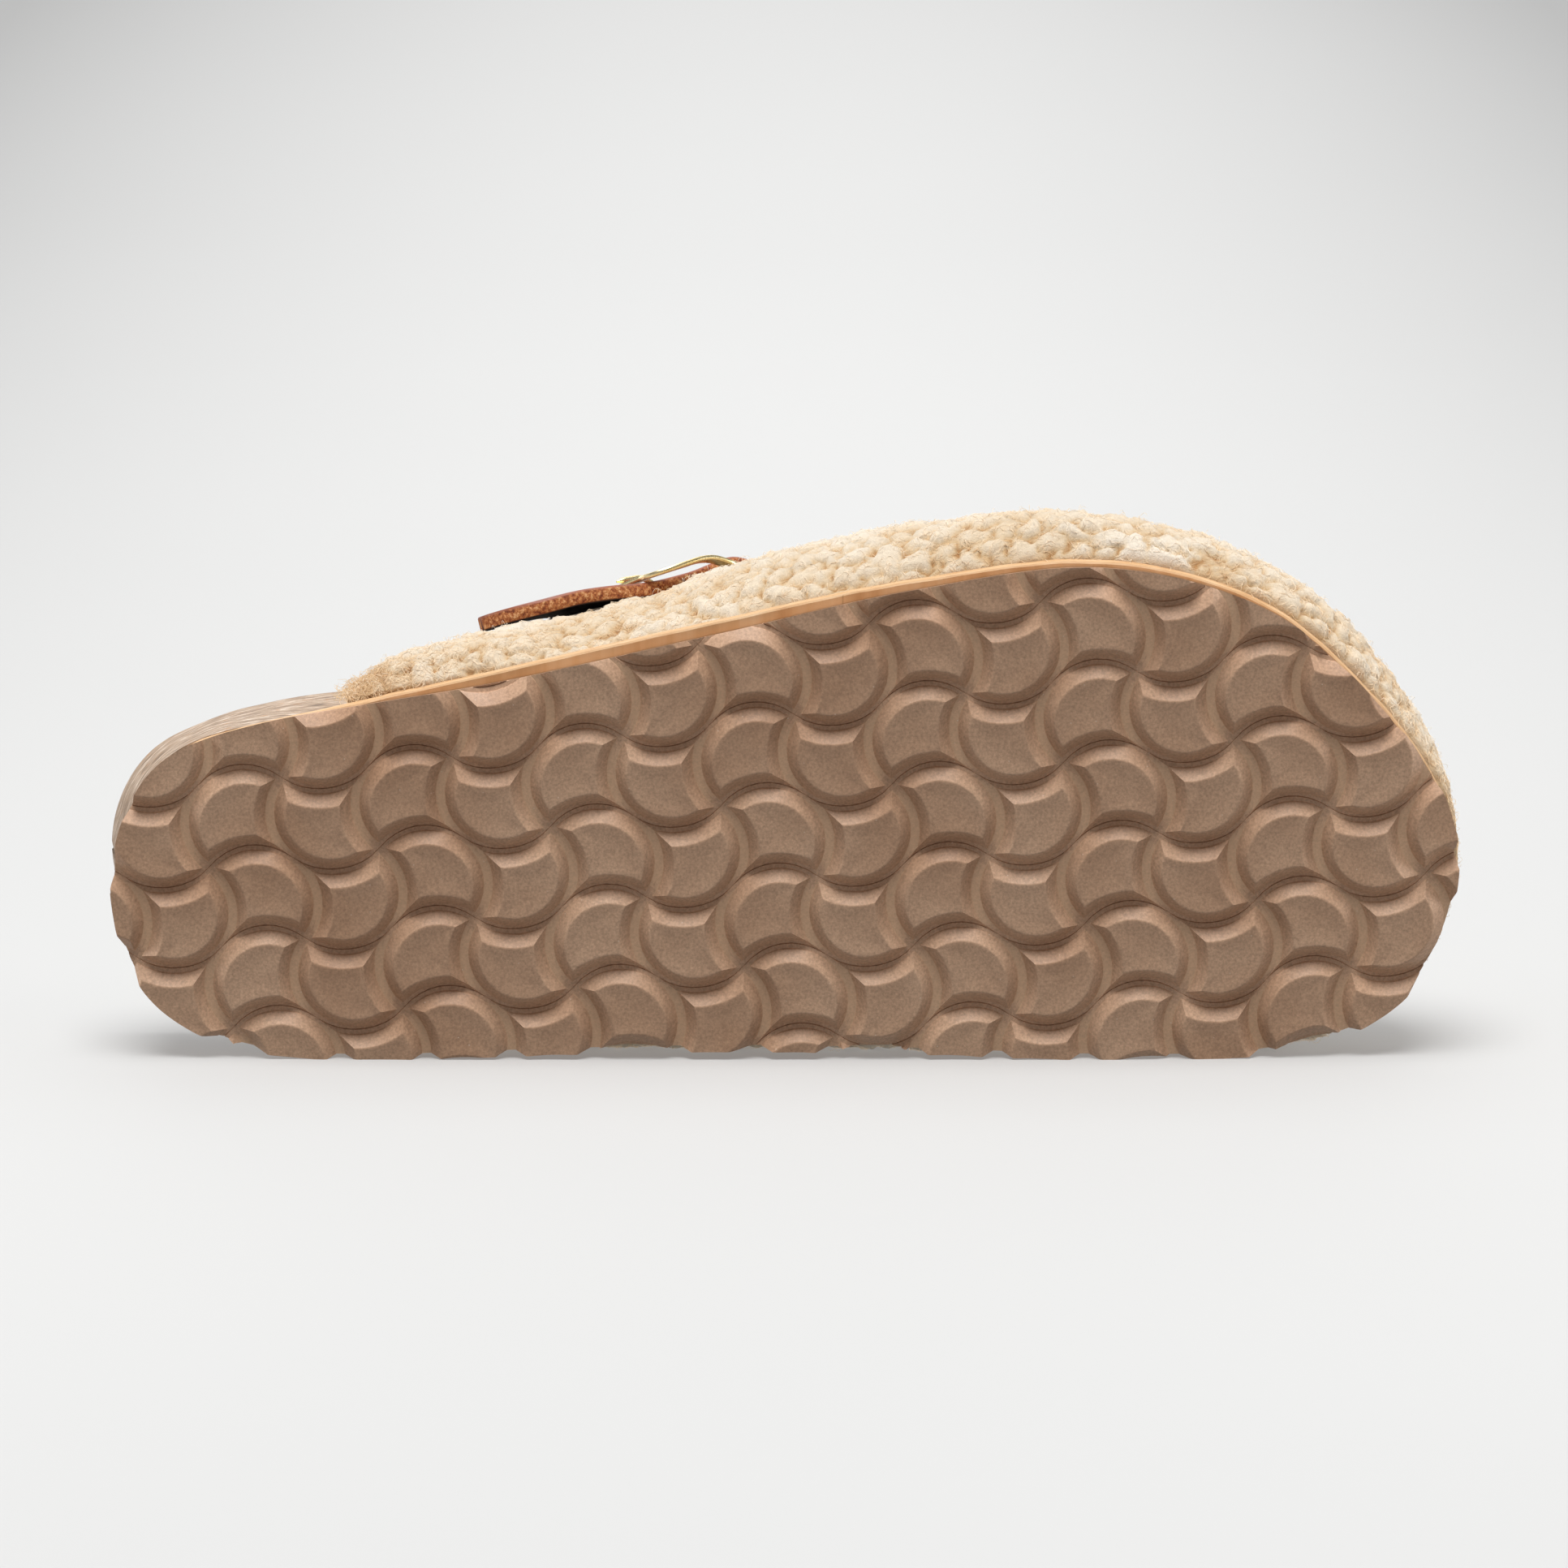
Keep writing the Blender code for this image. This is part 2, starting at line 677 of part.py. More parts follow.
def make_strap(material, line, way):
    spread = np.linspace(7, len(line) - 1, STRAP_STEPS)
    off_slot = (spread < SLOT_FROM - 1.5) | (spread > SLOT_TO + 1.5)
    lengths = np.sort(np.concatenate([TIP_STEPS, (SLOT_FROM, SLOT_TO), spread[off_slot]]))
    tip = np.clip(lengths / (STRAP_WIDTH / 2), 0, 1)
    half = STRAP_WIDTH / 2 * np.sqrt(1 - (1 - tip) ** 2)
    columns = np.array(STRAP_COLUMNS)
    lifts = read(STRAP_LIFT, "lift", lengths)
    under, over = band(line, way, lengths, half[:, None] * columns, lifts, STRAP_THICK)
    slot = int(np.argmin(np.abs(lengths - SLOT_FROM)))
    return piece("strap", band_sheet(under, over, (slot, 2)).mesh("strap"), material, 50)


def make_tab(material, line, way):
    start = HINGE_AT + BAR_WIDTH / 2 + GAP
    lengths = np.linspace(start, start + TAB_LENGTH, 6)
    asides = np.tile(np.linspace(-TAB_WIDTH / 2, TAB_WIDTH / 2, 4), (len(lengths), 1))
    at_bar = float(read(FRAME_LIFT, "lift", HINGE_AT)) - TAB_THICK / 2
    lifts = np.linspace(at_bar, TAB_LIFT, len(lengths))
    under, over = band(line, way, lengths, asides, lifts, TAB_THICK)
    return piece("buckle_tab", band_sheet(under, over).mesh("buckle_tab"), material, 50)


def make_frame(material, line, way):
    """Flat rectangular ring with round corners, bowed over the strap."""
    half_long = (HINGE_AT - FREE_BAR_AT) / 2
    half_wide = STRAP_WIDTH / 2 + FRAME_CLEAR + BAR_WIDTH / 2
    corners = ((1, 1), (-1, 1), (-1, -1), (1, -1))
    path = []
    for quarter, (long_side, wide_side) in enumerate(corners):
        centre = (long_side * (half_long - FRAME_ROUND), wide_side * (half_wide - FRAME_ROUND))
        for turn in np.linspace(quarter * math.pi / 2, (quarter + 1) * math.pi / 2, 5):
            path.append((centre, turn))
    rings = []
    for centre, turn in path:
        ring = []
        for out, up in ((-1, -1), (1, -1), (1, 1), (-1, 1)):
            radius = FRAME_ROUND + out * BAR_WIDTH / 2
            length = FREE_BAR_AT + half_long + centre[0] + radius * math.cos(turn)
            aside = centre[1] + radius * math.sin(turn)
            middle = FREE_BAR_AT + half_long + centre[0] + FRAME_ROUND * math.cos(turn)
            lift = float(read(FRAME_LIFT, "lift", middle)) + up * BAR_THICK / 2
            ring.append(over_upper(*strap_place(line, way, length, aside), lift)[0])
        rings.append(ring)
    rings = spring(np.array(rings))
    sheet = Sheet()
    grid = sheet.add(rings)
    grid = np.concatenate([grid, grid[:1]])
    sheet.quads(np.concatenate([grid, grid[:, :1]], 1))
    return piece("buckle_frame", sheet.mesh("buckle_frame"), material, 35)


def make_pin(material, line, way):
    """Round pin along its route."""
    rings = []
    for length, lift in zip(PIN_ROUTE["along"], PIN_ROUTE["lift"]):
        ring = []
        for turn in np.linspace(0, 2 * math.pi, 8, endpoint=False):
            place = strap_place(line, way, length, PIN_RADIUS * math.cos(turn))
            ring.append(over_upper(*place, lift + PIN_RADIUS * math.sin(turn))[0])
        rings.append(ring)
    return piece("buckle_pin", loft(spring(np.array(rings))).mesh("buckle_pin"), material, 50)


def points_of(obj):
    return np.array([vert.co for vert in obj.data.vertices], float) / MM


def floor_under(sole, upper):
    """Outward normal of the plane that the sole's inner edge, at heel and toe, and the upper all touch."""

    def reach(points, normal):
        return (points @ normal).max()

    def level(lean):
        """Normal whose plane touches the rear and the front half of the sole, for a lean."""
        rear = sole[sole[:, 0] < SOLE_LENGTH / 2]
        front = sole[sole[:, 0] >= SOLE_LENGTH / 2]
        low, high = -0.2, 0.2
        for _ in range(50):
            yaw = (low + high) / 2
            normal = np.array([yaw, 1, lean])
            if reach(front, normal) > reach(rear, normal):
                high = yaw
            else:
                low = yaw
        return normal

    low, high = -0.8, 0.0
    for _ in range(50):
        lean = (low + high) / 2
        normal = level(lean)
        if reach(upper, normal) > reach(sole, normal):
            high = lean
        else:
            low = lean
    return normal / np.linalg.norm(normal)


def lay_down(pieces):
    """Hangs the pieces on an empty that lays the shoe on its inner side, middle over the origin."""
    by_name = {obj.name: obj for obj in pieces}
    sole = np.concatenate([points_of(by_name["outsole"]), points_of(by_name["midsole"])])
    down = floor_under(sole, points_of(by_name["upper"]))
    ahead = np.array([1.0, 0, 0]) - down * down[0]
    ahead /= np.linalg.norm(ahead)
    turn = np.stack([ahead, np.cross(-down, ahead), -down])
    laid = np.concatenate([points_of(obj) for obj in pieces]) @ turn.T
    middle = (laid.min(0) + laid.max(0)) / 2
    place = np.array([middle[0], middle[1], laid[:, 2].min()])
    rest = bpy.data.objects.new("shoe", None)
    bpy.context.scene.collection.objects.link(rest)
    rest.matrix_world = Matrix.Translation(-place * MM) @ Matrix(turn.tolist()).to_4x4()
    for obj in pieces:
        obj.parent = rest


def build():
    for obj in list(bpy.data.objects):
        bpy.data.objects.remove(obj, do_unlink=True)
    foam = finish("brown foam", (0.21, 0.13, 0.085), 0.75)
    tan = finish("tan board", (0.55, 0.33, 0.14), 0.7)
    cork = finish("cork", (0.42, 0.33, 0.25), 0.85)
    suede = finish("suede", (0.45, 0.36, 0.27), 0.9)
    fleece = finish("fleece", (0.86, 0.76, 0.58), 0.95)
    leather = finish("cognac leather", (0.3, 0.1, 0.04), 0.5)
    brass = finish("brass", (0.75, 0.58, 0.25), 0.25, 1.0)
    line, way = strap_line()
    lay_down(
        [
            make_outsole(foam),
            make_midsole(tan),
            make_footbed(cork),
            make_insole(suede),
            make_upper(fleece),
            make_strap(leather, line, way),
            make_tab(leather, line, way),
            make_frame(brass, line, way),
            make_pin(brass, line, way),
        ]
    )


build()
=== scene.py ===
# Looks of a right clog: fleece upper, buckled leather strap, cork footbed and a tiled foam tread.
# The shoe is drawn in its own frame, in millimetres: x from heel to toe, y to the inner side, z up from the
# tread. toRow() lays it on its inner side, where the solids lie.
import math

import bmesh
import bpy
import numpy as np
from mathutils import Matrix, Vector
from mathutils.kdtree import KDTree


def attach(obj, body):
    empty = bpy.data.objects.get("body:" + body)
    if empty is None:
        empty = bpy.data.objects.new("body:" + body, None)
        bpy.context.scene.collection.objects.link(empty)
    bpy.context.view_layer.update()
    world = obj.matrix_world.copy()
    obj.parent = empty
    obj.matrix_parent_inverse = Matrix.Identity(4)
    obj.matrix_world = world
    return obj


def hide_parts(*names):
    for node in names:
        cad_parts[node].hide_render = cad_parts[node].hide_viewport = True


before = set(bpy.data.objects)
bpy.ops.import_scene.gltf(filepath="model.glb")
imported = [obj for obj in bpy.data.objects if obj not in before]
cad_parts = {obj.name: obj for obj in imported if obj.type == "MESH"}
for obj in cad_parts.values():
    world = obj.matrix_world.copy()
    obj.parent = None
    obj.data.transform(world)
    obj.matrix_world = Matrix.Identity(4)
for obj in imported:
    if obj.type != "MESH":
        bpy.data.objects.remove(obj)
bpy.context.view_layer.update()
rng = np.random.default_rng(11)
print("solids loaded:", ", ".join(sorted(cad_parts)))


# Form of the shoe
sole = {
    "length": 262.0,
    "innerLine": 50.0,  # y of the straight inner side, widths are measured from it
    "toeSpring": 5.5,
    "toeBreak": 185.0,
    "heelLift": 2.5,
    "heelBreak": 70.0,
    "seat": 7.0,
    "endShare": 0.004,  # lofts start this far round from heel and toe
    "lapStep": 0.004,  # the edge's direction is taken over this step
}
lying = {"lean": 9.6759, "yaw": 0.03328, "shift": (-130.7765, -40.7412, 48.898)}  # degrees and mm


def table(columns, *rows):
    return dict(zip(columns.split(), np.array(rows, float).T))


outline = table(
    "along outer inner",
    (0, 34.8, 34.8), (10, 61.0, 9.4), (30, 69.6, 1.2), (50, 73.6, 0.0), (72, 77.5, 0.8),
    (117, 87.8, 1.9), (155, 96.8, 1.4), (192, 101.5, 0.1), (225, 92.0, 0.8), (247, 71.2, 7.4),
    (262, 38.5, 38.5),
)
edgeLayer = table(
    "along outer inner",
    (0, -1.7, -1.7), (40, -1.7, -1.7), (56, -0.6, -1.3), (200, -0.6, -1.3), (262, -1.0, -1.3),
)
upperForm = table(
    "along ridge across swellOut swellIn widestOut widestIn fullOut fullIn",
    (40, 91, 36.5, 1.2, 2.4, 12, 22, 0.15, 0.18), (57, 92, 37.0, 2.5, 3.0, 13, 24, 0.16, 0.20),
    (72, 92, 38.0, 2.8, 3.8, 14, 25, 0.24, 0.26), (95, 91, 39.5, 0.6, 5.04, 18, 26, 0.34, 0.36),
    (108, 89, 40.2, 1.2, 5.34, 19, 26, 0.37, 0.39), (120, 87, 41.0, 3.1, 5.64, 20, 26, 0.40, 0.42),
    (145, 79, 42.5, 4.0, 5.34, 20, 26, 0.44, 0.48), (170, 68, 43.5, 4.4, 4.14, 18, 24, 0.48, 0.54),
    (200, 55, 43.5, 3.2, 2.4, 15, 20, 0.55, 0.62), (222, 49, 42.5, 2.2, 2.0, 15, 17, 0.62, 0.66),
    (246, 45, 41.0, 1.3, 1.3, 16, 16, 0.65, 0.66), (262, 43, 40.0, -0.8, -0.8, 16, 16, 0.66, 0.66),
)
collar = table(
    "along height",
    (46, 9.5), (51, 13), (57, 24), (66, 42), (80, 56), (100, 67), (116, 77), (126, 86),
)
footbedForm = table(
    "along rimOut rimIn bed footOut rimEdge",
    (0, 27, 27, 23, -1.7, 0.5), (10, 27, 27, 20.5, -1.8, -3.8), (25, 27, 27, 18.5, -2.0, -4.6),
    (42, 26.5, 27, 18.5, -4.4, -5.0), (60, 25.5, 27.5, 19.0, -4.4, -6.6),
    (95, 23.5, 28.0, 21.0, -4.4, -5.2), (130, 20.0, 24.0, 19.5, -4.4, -4.4),
    (165, 17.5, 19.0, 16.8, -4.4, -4.4), (200, 16.5, 17.0, 15.5, -4.4, -4.4),
    (240, 16.5, 16.5, 15.0, -4.6, -4.8), (262, 17.0, 17.0, 15.5, -5.0, -5.2),
)


def smoothCurve(knots, values, wanted):  # cubic through the knots, held at both ends
    wanted = np.clip(np.asarray(wanted, float), knots[0], knots[-1])
    slopes = np.gradient(values, knots)
    low = np.clip(np.searchsorted(knots, wanted, side="right") - 1, 0, len(knots) - 2)
    span = knots[low + 1] - knots[low]
    t = (wanted - knots[low]) / span
    rise = t * t * (3 - 2 * t)
    ends = slopes[low] * t * (1 - t) ** 2 * span + slopes[low + 1] * t * t * (t - 1) * span
    return values[low] * (1 - rise) + values[low + 1] * rise + ends


def read(rows, column, along):
    return smoothCurve(rows["along"], rows[column], along)


def turnOf(along):  # an angle that bunches the stations at heel and toe
    return np.arccos(1 - 2 * np.clip(np.asarray(along, float) / sole["length"], 0, 1))


def alongOf(turn):
    return sole["length"] * (1 - np.cos(turn)) / 2


def edge(lap, out=0.0):  # outline of the sole: lap 0 to 1 on the outer side, 1 to 2 back on the inner
    def plain(laps):
        laps = np.mod(laps, 2)
        turn = np.pi * np.where(laps < 1, laps, 2 - laps)
        knots = turnOf(outline["along"])
        outer = smoothCurve(knots, outline["outer"], turn)
        inner = smoothCurve(knots, outline["inner"], turn)
        return np.stack([alongOf(turn), sole["innerLine"] - np.where(laps < 1, outer, inner)], -1)

    lap = np.asarray(lap, float)
    run = plain(lap + sole["lapStep"]) - plain(lap - sole["lapStep"])
    run /= np.linalg.norm(run, axis=-1, keepdims=True)
    outward = np.stack([run[..., 1], -run[..., 0]], -1)
    return plain(lap) + outward * np.asarray(out, float)[..., None]


def stationsOf(count):  # shares of the way from heel to toe
    return np.linspace(sole["endShare"], 1 - sole["endShare"], count)


def sharesAcross(count):  # -1 to 1, bunched at both edges
    return np.sin(np.linspace(-np.pi / 2, np.pi / 2, count))


def runOf(line):  # distance along a line of points
    return np.concatenate([[0], np.cumsum(np.linalg.norm(np.diff(line, axis=0), axis=1))])


def rocker(along):  # how far toe and heel are bent up
    toe = np.clip((along - sole["toeBreak"]) / (sole["length"] - sole["toeBreak"]), 0, None)
    heel = np.clip((sole["heelBreak"] - along) / sole["heelBreak"], 0, None)
    return sole["toeSpring"] * toe**2 + sole["heelLift"] * heel**2


def liftFlat(flat, level):
    return np.concatenate([flat, np.broadcast_to(level, flat.shape[:-1])[..., None]], -1)


def layTurn():
    lean = math.radians(lying["lean"])
    down = np.array([-math.radians(lying["yaw"]), math.cos(lean), -math.sin(lean)])
    down /= np.linalg.norm(down)
    ahead = np.array([1.0, 0, 0]) - down * down[0]
    ahead /= np.linalg.norm(ahead)
    return np.stack([ahead, np.cross(-down, ahead), -down])


def toRow(points):  # shoe frame in mm to the row frame in metres, toe and heel bent up first
    bent = np.array(points, float)
    bent[..., 2] += rocker(bent[..., 0])
    return (bent @ layTurn().T + lying["shift"]) * 0.001


# Small tools for materials and meshes
def toLinear(hexColour):
    channels = [int(hexColour[i : i + 2], 16) / 255 for i in (1, 3, 5)]
    return [c / 12.92 if c <= 0.04045 else ((c + 0.055) / 1.055) ** 2.4 for c in channels] + [1.0]


def addNode(tree, kind, out, inputs=None, stops=(), **settings):  # gives the output that is used
    node = tree.nodes.new("ShaderNode" + kind)
    for name, value in settings.items():
        setattr(node, name, value)
    for name, value in (inputs or {}).items():
        if isinstance(value, bpy.types.NodeSocket):
            tree.links.new(value, node.inputs[name])
        else:
            node.inputs[name].default_value = value
    for place, (position, hexColour) in enumerate(stops):
        ramp = node.color_ramp.elements
        stop = ramp[place] if place < 2 else ramp.new(position)
        stop.position = position
        stop.color = toLinear(hexColour)
    return node.outputs[out]


def newMaterial(name, **constants):
    material = bpy.data.materials.new(name)
    material.use_nodes = True
    shader = material.node_tree.nodes["Principled BSDF"]
    for socket, value in constants.items():
        shader.inputs[socket.replace("_", " ")].default_value = value
    return material, material.node_tree, shader


def plug(shader, **sockets):  # links outputs into the shader
    for socket, output in sockets.items():
        shader.id_data.links.new(output, shader.inputs[socket.replace("_", " ")])


def quadsOf(grid, around=False):
    if around:
        grid = np.concatenate([grid, grid[:, :1]], 1)
    corners = [grid[:-1, :-1], grid[1:, :-1], grid[1:, 1:], grid[:-1, 1:]]
    return np.stack(corners, -1).reshape(-1, 4)


def loftFaces(shape):  # closed solid through closed rings
    grid = np.arange(shape[0] * shape[1]).reshape(shape[:2])
    return quadsOf(grid, True).tolist() + [grid[0].tolist(), grid[-1][::-1].tolist()]


def faceOut(mesh):
    built = bmesh.new()
    built.from_mesh(mesh)
    bmesh.ops.recalc_face_normals(built, faces=built.faces)
    built.to_mesh(mesh)
    built.free()


def addPiece(name, mesh, material, slot, nodes=(), sharp=35, marks=None, mend=True, smooth=True):
    if mend:
        faceOut(mesh)
    obj = bpy.data.objects.new(name, mesh)
    bpy.context.scene.collection.objects.link(obj)
    mesh.materials.clear()
    mesh.materials.append(material)
    if smooth:
        mesh.shade_smooth()
    if sharp:
        mesh.set_sharp_from_angle(angle=math.radians(sharp))
    for mark, values in (marks or {}).items():
        column = mesh.attributes.new(mark, "FLOAT", "POINT").data
        column.foreach_set("value", np.ravel(values).astype(np.float32))
    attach(obj, "root")
    if nodes:
        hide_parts(*nodes)
    print(name, "-", len(mesh.polygons), "faces")
    return obj


def meshOf(name, points, faces):
    mesh = bpy.data.meshes.new(name)
    mesh.from_pydata(np.reshape(points, (-1, 3)).tolist(), [], faces)
    return mesh


def addLoft(name, rings, *looks, **more):
    return addPiece(name, meshOf(name, toRow(rings), loftFaces(rings.shape)), *looks, **more)


def wobble(points, size, seed):  # slow smooth noise from a few crossing waves, about -1 to 1
    draw = np.random.default_rng(seed)
    total = 0
    for _ in range(5):
        way = draw.normal(size=3)
        way /= np.linalg.norm(way)
        wave = points @ way * (2 * np.pi / size) * draw.uniform(0.6, 1.6)
        total = total + np.sin(wave + draw.uniform(0, 6.3))
    return total / 2.6


def millimetres(size):  # scale of a noise texture whose grain has that size
    return 1000.0 / size


# Materials
def makeFoam():
    # Moulded EVA foam: matt skin with a fine cell grit, dusty and paler down in the grooves
    foam, tree, shader = newMaterial("mouldedEvaFoam", IOR=1.48)
    place = addNode(tree, "TexCoord", "Object")
    depth = addNode(tree, "Attribute", "Fac", attribute_name="depth")
    fine = {"Vector": place, "Scale": millimetres(0.55), "Detail": 4.0, "Roughness": 0.7}
    grit = addNode(tree, "TexNoise", "Fac", fine)
    cloud = addNode(tree, "TexNoise", "Fac", {"Vector": place, "Scale": millimetres(26), "Detail": 3.0})
    fleck = addNode(tree, "TexVoronoi", "Distance", {"Vector": place, "Scale": millimetres(3.4)})
    tones = (0.28, "#BA967B"), (0.72, "#EEC7A5"), (0.5, "#D7B091")
    skin = addNode(tree, "ValToRGB", "Color", {"Fac": grit}, tones)
    clouds = addNode(tree, "ValToRGB", "Color", {"Fac": cloud}, ((0.3, "#E6DDD6"), (0.7, "#FFFFFF")))
    shaded = addNode(tree, "Mix", 2, {0: 1.0, 6: skin, 7: clouds}, data_type="RGBA", blend_type="MULTIPLY")
    # painted shade: where the depth mark falls again in the crack, no dust is mixed in, so the crack stays
    # darker
    low = {"Value": depth, "From Min": 0.9, "From Max": 1.0, "To Max": 0.4}
    inGroove = addNode(tree, "MapRange", "Result", low)
    dusty = addNode(tree, "Mix", 2, {0: inGroove, 6: shaded, 7: toLinear("#F0CBA4")}, data_type="RGBA")
    spot = addNode(tree, "MapRange", "Result", {"Value": fleck, "From Min": 0.045, "From Max": 0.03})
    spotted = addNode(tree, "Mix", 2, {0: spot, 6: dusty, 7: toLinear("#E6CDB6")}, data_type="RGBA")
    gloss = addNode(tree, "MapRange", "Result", {"Value": grit, "To Min": 0.42, "To Max": 0.62})
    bump = addNode(tree, "Bump", "Normal", {"Height": grit, "Strength": 0.35, "Distance": 0.00012})
    plug(shader, Base_Color=spotted, Roughness=gloss, Normal=bump)
    return foam


def makeTan():
    # Tan leather board with a cut edge: warm orange, darker fibre lines along it, small dark nicks
    tan, tree, shader = newMaterial("tanLeatherBoard", IOR=1.5)
    run = addNode(tree, "Attribute", "Fac", attribute_name="run")  # both in mm, so scales are per mm
    rise = addNode(tree, "Attribute", "Fac", attribute_name="rise")
    spot = addNode(tree, "CombineXYZ", "Vector", {"X": run, "Y": rise})
    fibre = addNode(tree, "Mapping", "Vector", {"Vector": spot, "Scale": (0.12, 1.6, 1)})
    fine = {"Vector": fibre, "Scale": 1.0, "Detail": 4.0, "Roughness": 0.65}
    lines = addNode(tree, "TexNoise", "Fac", fine)
    nick = addNode(tree, "Mapping", "Vector", {"Vector": spot, "Scale": (0.5, 1.2, 1)})
    ragged = {"Vector": nick, "Scale": 1.0, "Detail": 5.0, "Roughness": 0.75}
    nicks = addNode(tree, "TexNoise", "Fac", ragged)
    tones = (0.25, "#C3905C"), (0.75, "#EACAA2"), (0.5, "#DCB384")
    colour = addNode(tree, "ValToRGB", "Color", {"Fac": lines}, tones)
    deep = {"Value": nicks, "From Min": 0.36, "From Max": 0.28, "To Max": 0.8}
    dark = addNode(tree, "MapRange", "Result", deep)
    nicked = addNode(tree, "Mix", 2, {0: dark, 6: colour, 7: toLinear("#7A4B28")}, data_type="RGBA")
    bump = addNode(tree, "Bump", "Normal", {"Height": lines, "Strength": 0.4, "Distance": 0.0002})
    gloss = addNode(tree, "MapRange", "Result", {"Value": lines, "To Min": 0.45, "To Max": 0.7})
    plug(shader, Base_Color=nicked, Roughness=gloss, Normal=bump)
    return tan


def makeCork():
    # Ground cork under a clear seal: grey tan with pale and dark streaks along the side, rusty crumbs
    cork, tree, shader = newMaterial("sealedCork", IOR=1.45)
    run = addNode(tree, "Attribute", "Fac", attribute_name="run")  # both in mm, so scales are per mm
    rise = addNode(tree, "Attribute", "Fac", attribute_name="rise")
    spot = addNode(tree, "CombineXYZ", "Vector", {"X": run, "Y": rise})
    long = addNode(tree, "Mapping", "Vector", {"Vector": spot, "Scale": (0.14, 0.95, 1)})
    fine = {"Vector": long, "Scale": 1.0, "Detail": 6.0, "Roughness": 0.72}
    streak = addNode(tree, "TexNoise", "Fac", fine)
    crumb = addNode(tree, "Mapping", "Vector", {"Vector": spot, "Scale": (0.28, 0.75, 1)})
    coarse = {"Vector": crumb, "Scale": 1.0, "Detail": 3.0, "Roughness": 0.6}
    crumbs = addNode(tree, "TexNoise", "Fac", coarse)
    tones = (0.33, "#5E4C3D"), (0.66, "#EFE2D3"), (0.43, "#99816B"), (0.54, "#BFA68F")
    colour = addNode(tree, "ValToRGB", "Color", {"Fac": streak}, tones)
    few = {"Value": crumbs, "From Min": 0.6, "From Max": 0.72, "To Max": 0.75}
    rust = addNode(tree, "MapRange", "Result", few)
    mixed = addNode(tree, "Mix", 2, {0: rust, 6: colour, 7: toLinear("#BE8858")}, data_type="RGBA")
    bump = addNode(tree, "Bump", "Normal", {"Height": streak, "Strength": 0.6, "Distance": 0.0004})
    gloss = addNode(tree, "MapRange", "Result", {"Value": streak, "To Min": 0.45, "To Max": 0.75})
    plug(shader, Base_Color=mixed, Roughness=gloss, Normal=bump)
    return cork


def makeSuede():
    # Suede split: short brushed nap that catches the light, cloudy taupe
    suede, tree, shader = newMaterial("brushedSuede", Roughness=0.9, Sheen_Weight=0.35, Sheen_Roughness=0.45)
    place = addNode(tree, "TexCoord", "Object")
    fine = {"Vector": place, "Scale": millimetres(0.7), "Detail": 5.0, "Roughness": 0.75}
    nap = addNode(tree, "TexNoise", "Fac", fine)
    cloud = addNode(tree, "TexNoise", "Fac", {"Vector": place, "Scale": millimetres(14), "Detail": 3.0})
    colour = addNode(tree, "ValToRGB", "Color", {"Fac": nap}, ((0.3, "#8B755F"), (0.7, "#B8A48C")))
    clouds = addNode(tree, "ValToRGB", "Color", {"Fac": cloud}, ((0.3, "#DDD4CA"), (0.7, "#FFFFFF")))
    brushed = addNode(tree, "Mix", 2, {0: 1.0, 6: colour, 7: clouds}, data_type="RGBA", blend_type="MULTIPLY")
    bump = addNode(tree, "Bump", "Normal", {"Height": nap, "Strength": 0.5, "Distance": 0.0003})
    plug(shader, Base_Color=brushed, Normal=bump)
    return suede


def makeFleece(name, grain, rough, paintedGlow):
    # Curly wool fleece: cream tips, painted shade that turns the colour honey down between the curls, soft
    # sheen from loose fibres
    wool, tree, shader = newMaterial(name, Roughness=0.95, Sheen_Weight=0.2, Sheen_Roughness=0.5)
    place = addNode(tree, "TexCoord", "Object")
    high = addNode(tree, "Attribute", "Fac", attribute_name="pile")
    fine = {"Vector": place, "Scale": millimetres(grain), "Detail": 4.0, "Roughness": 0.7, "Distortion": 1.4}
    fibre = addNode(tree, "TexNoise", "Fac", fine)
    cloud = addNode(tree, "TexNoise", "Fac", {"Vector": place, "Scale": millimetres(18), "Detail": 2.0})
    uneven = addNode(tree, "Math", 0, {0: fibre, 1: 0.3}, operation="MULTIPLY")
    lifted = addNode(tree, "Math", 0, {0: high, 1: uneven}, operation="ADD")
    # painted shade: low pile is coloured darker and honey, high pile cream
    tones = (0.14, "#B98A55"), (1.0, "#F4E7D4"), (0.4, "#DFC49E"), (0.66, "#EAD8BE")
    colour = addNode(tree, "ValToRGB", "Color", {"Fac": lifted}, tones)
    clouds = addNode(tree, "ValToRGB", "Color", {"Fac": cloud}, ((0.35, "#F6EDDF"), (0.65, "#FFFFFF")))
    tinted = addNode(tree, "Mix", 2, {0: 1.0, 6: colour, 7: clouds}, data_type="RGBA", blend_type="MULTIPLY")
    plug(shader, Base_Color=tinted)
    if paintedGlow:  # painted light: the fibres glow faintly, so they never shade dark
        plug(shader, Emission_Color=tinted)
        shader.inputs["Emission Strength"].default_value = paintedGlow
    if rough:
        bump = addNode(tree, "Bump", "Normal", {"Height": fibre, "Strength": rough, "Distance": 0.0005})
        plug(shader, Normal=bump)
    return wool


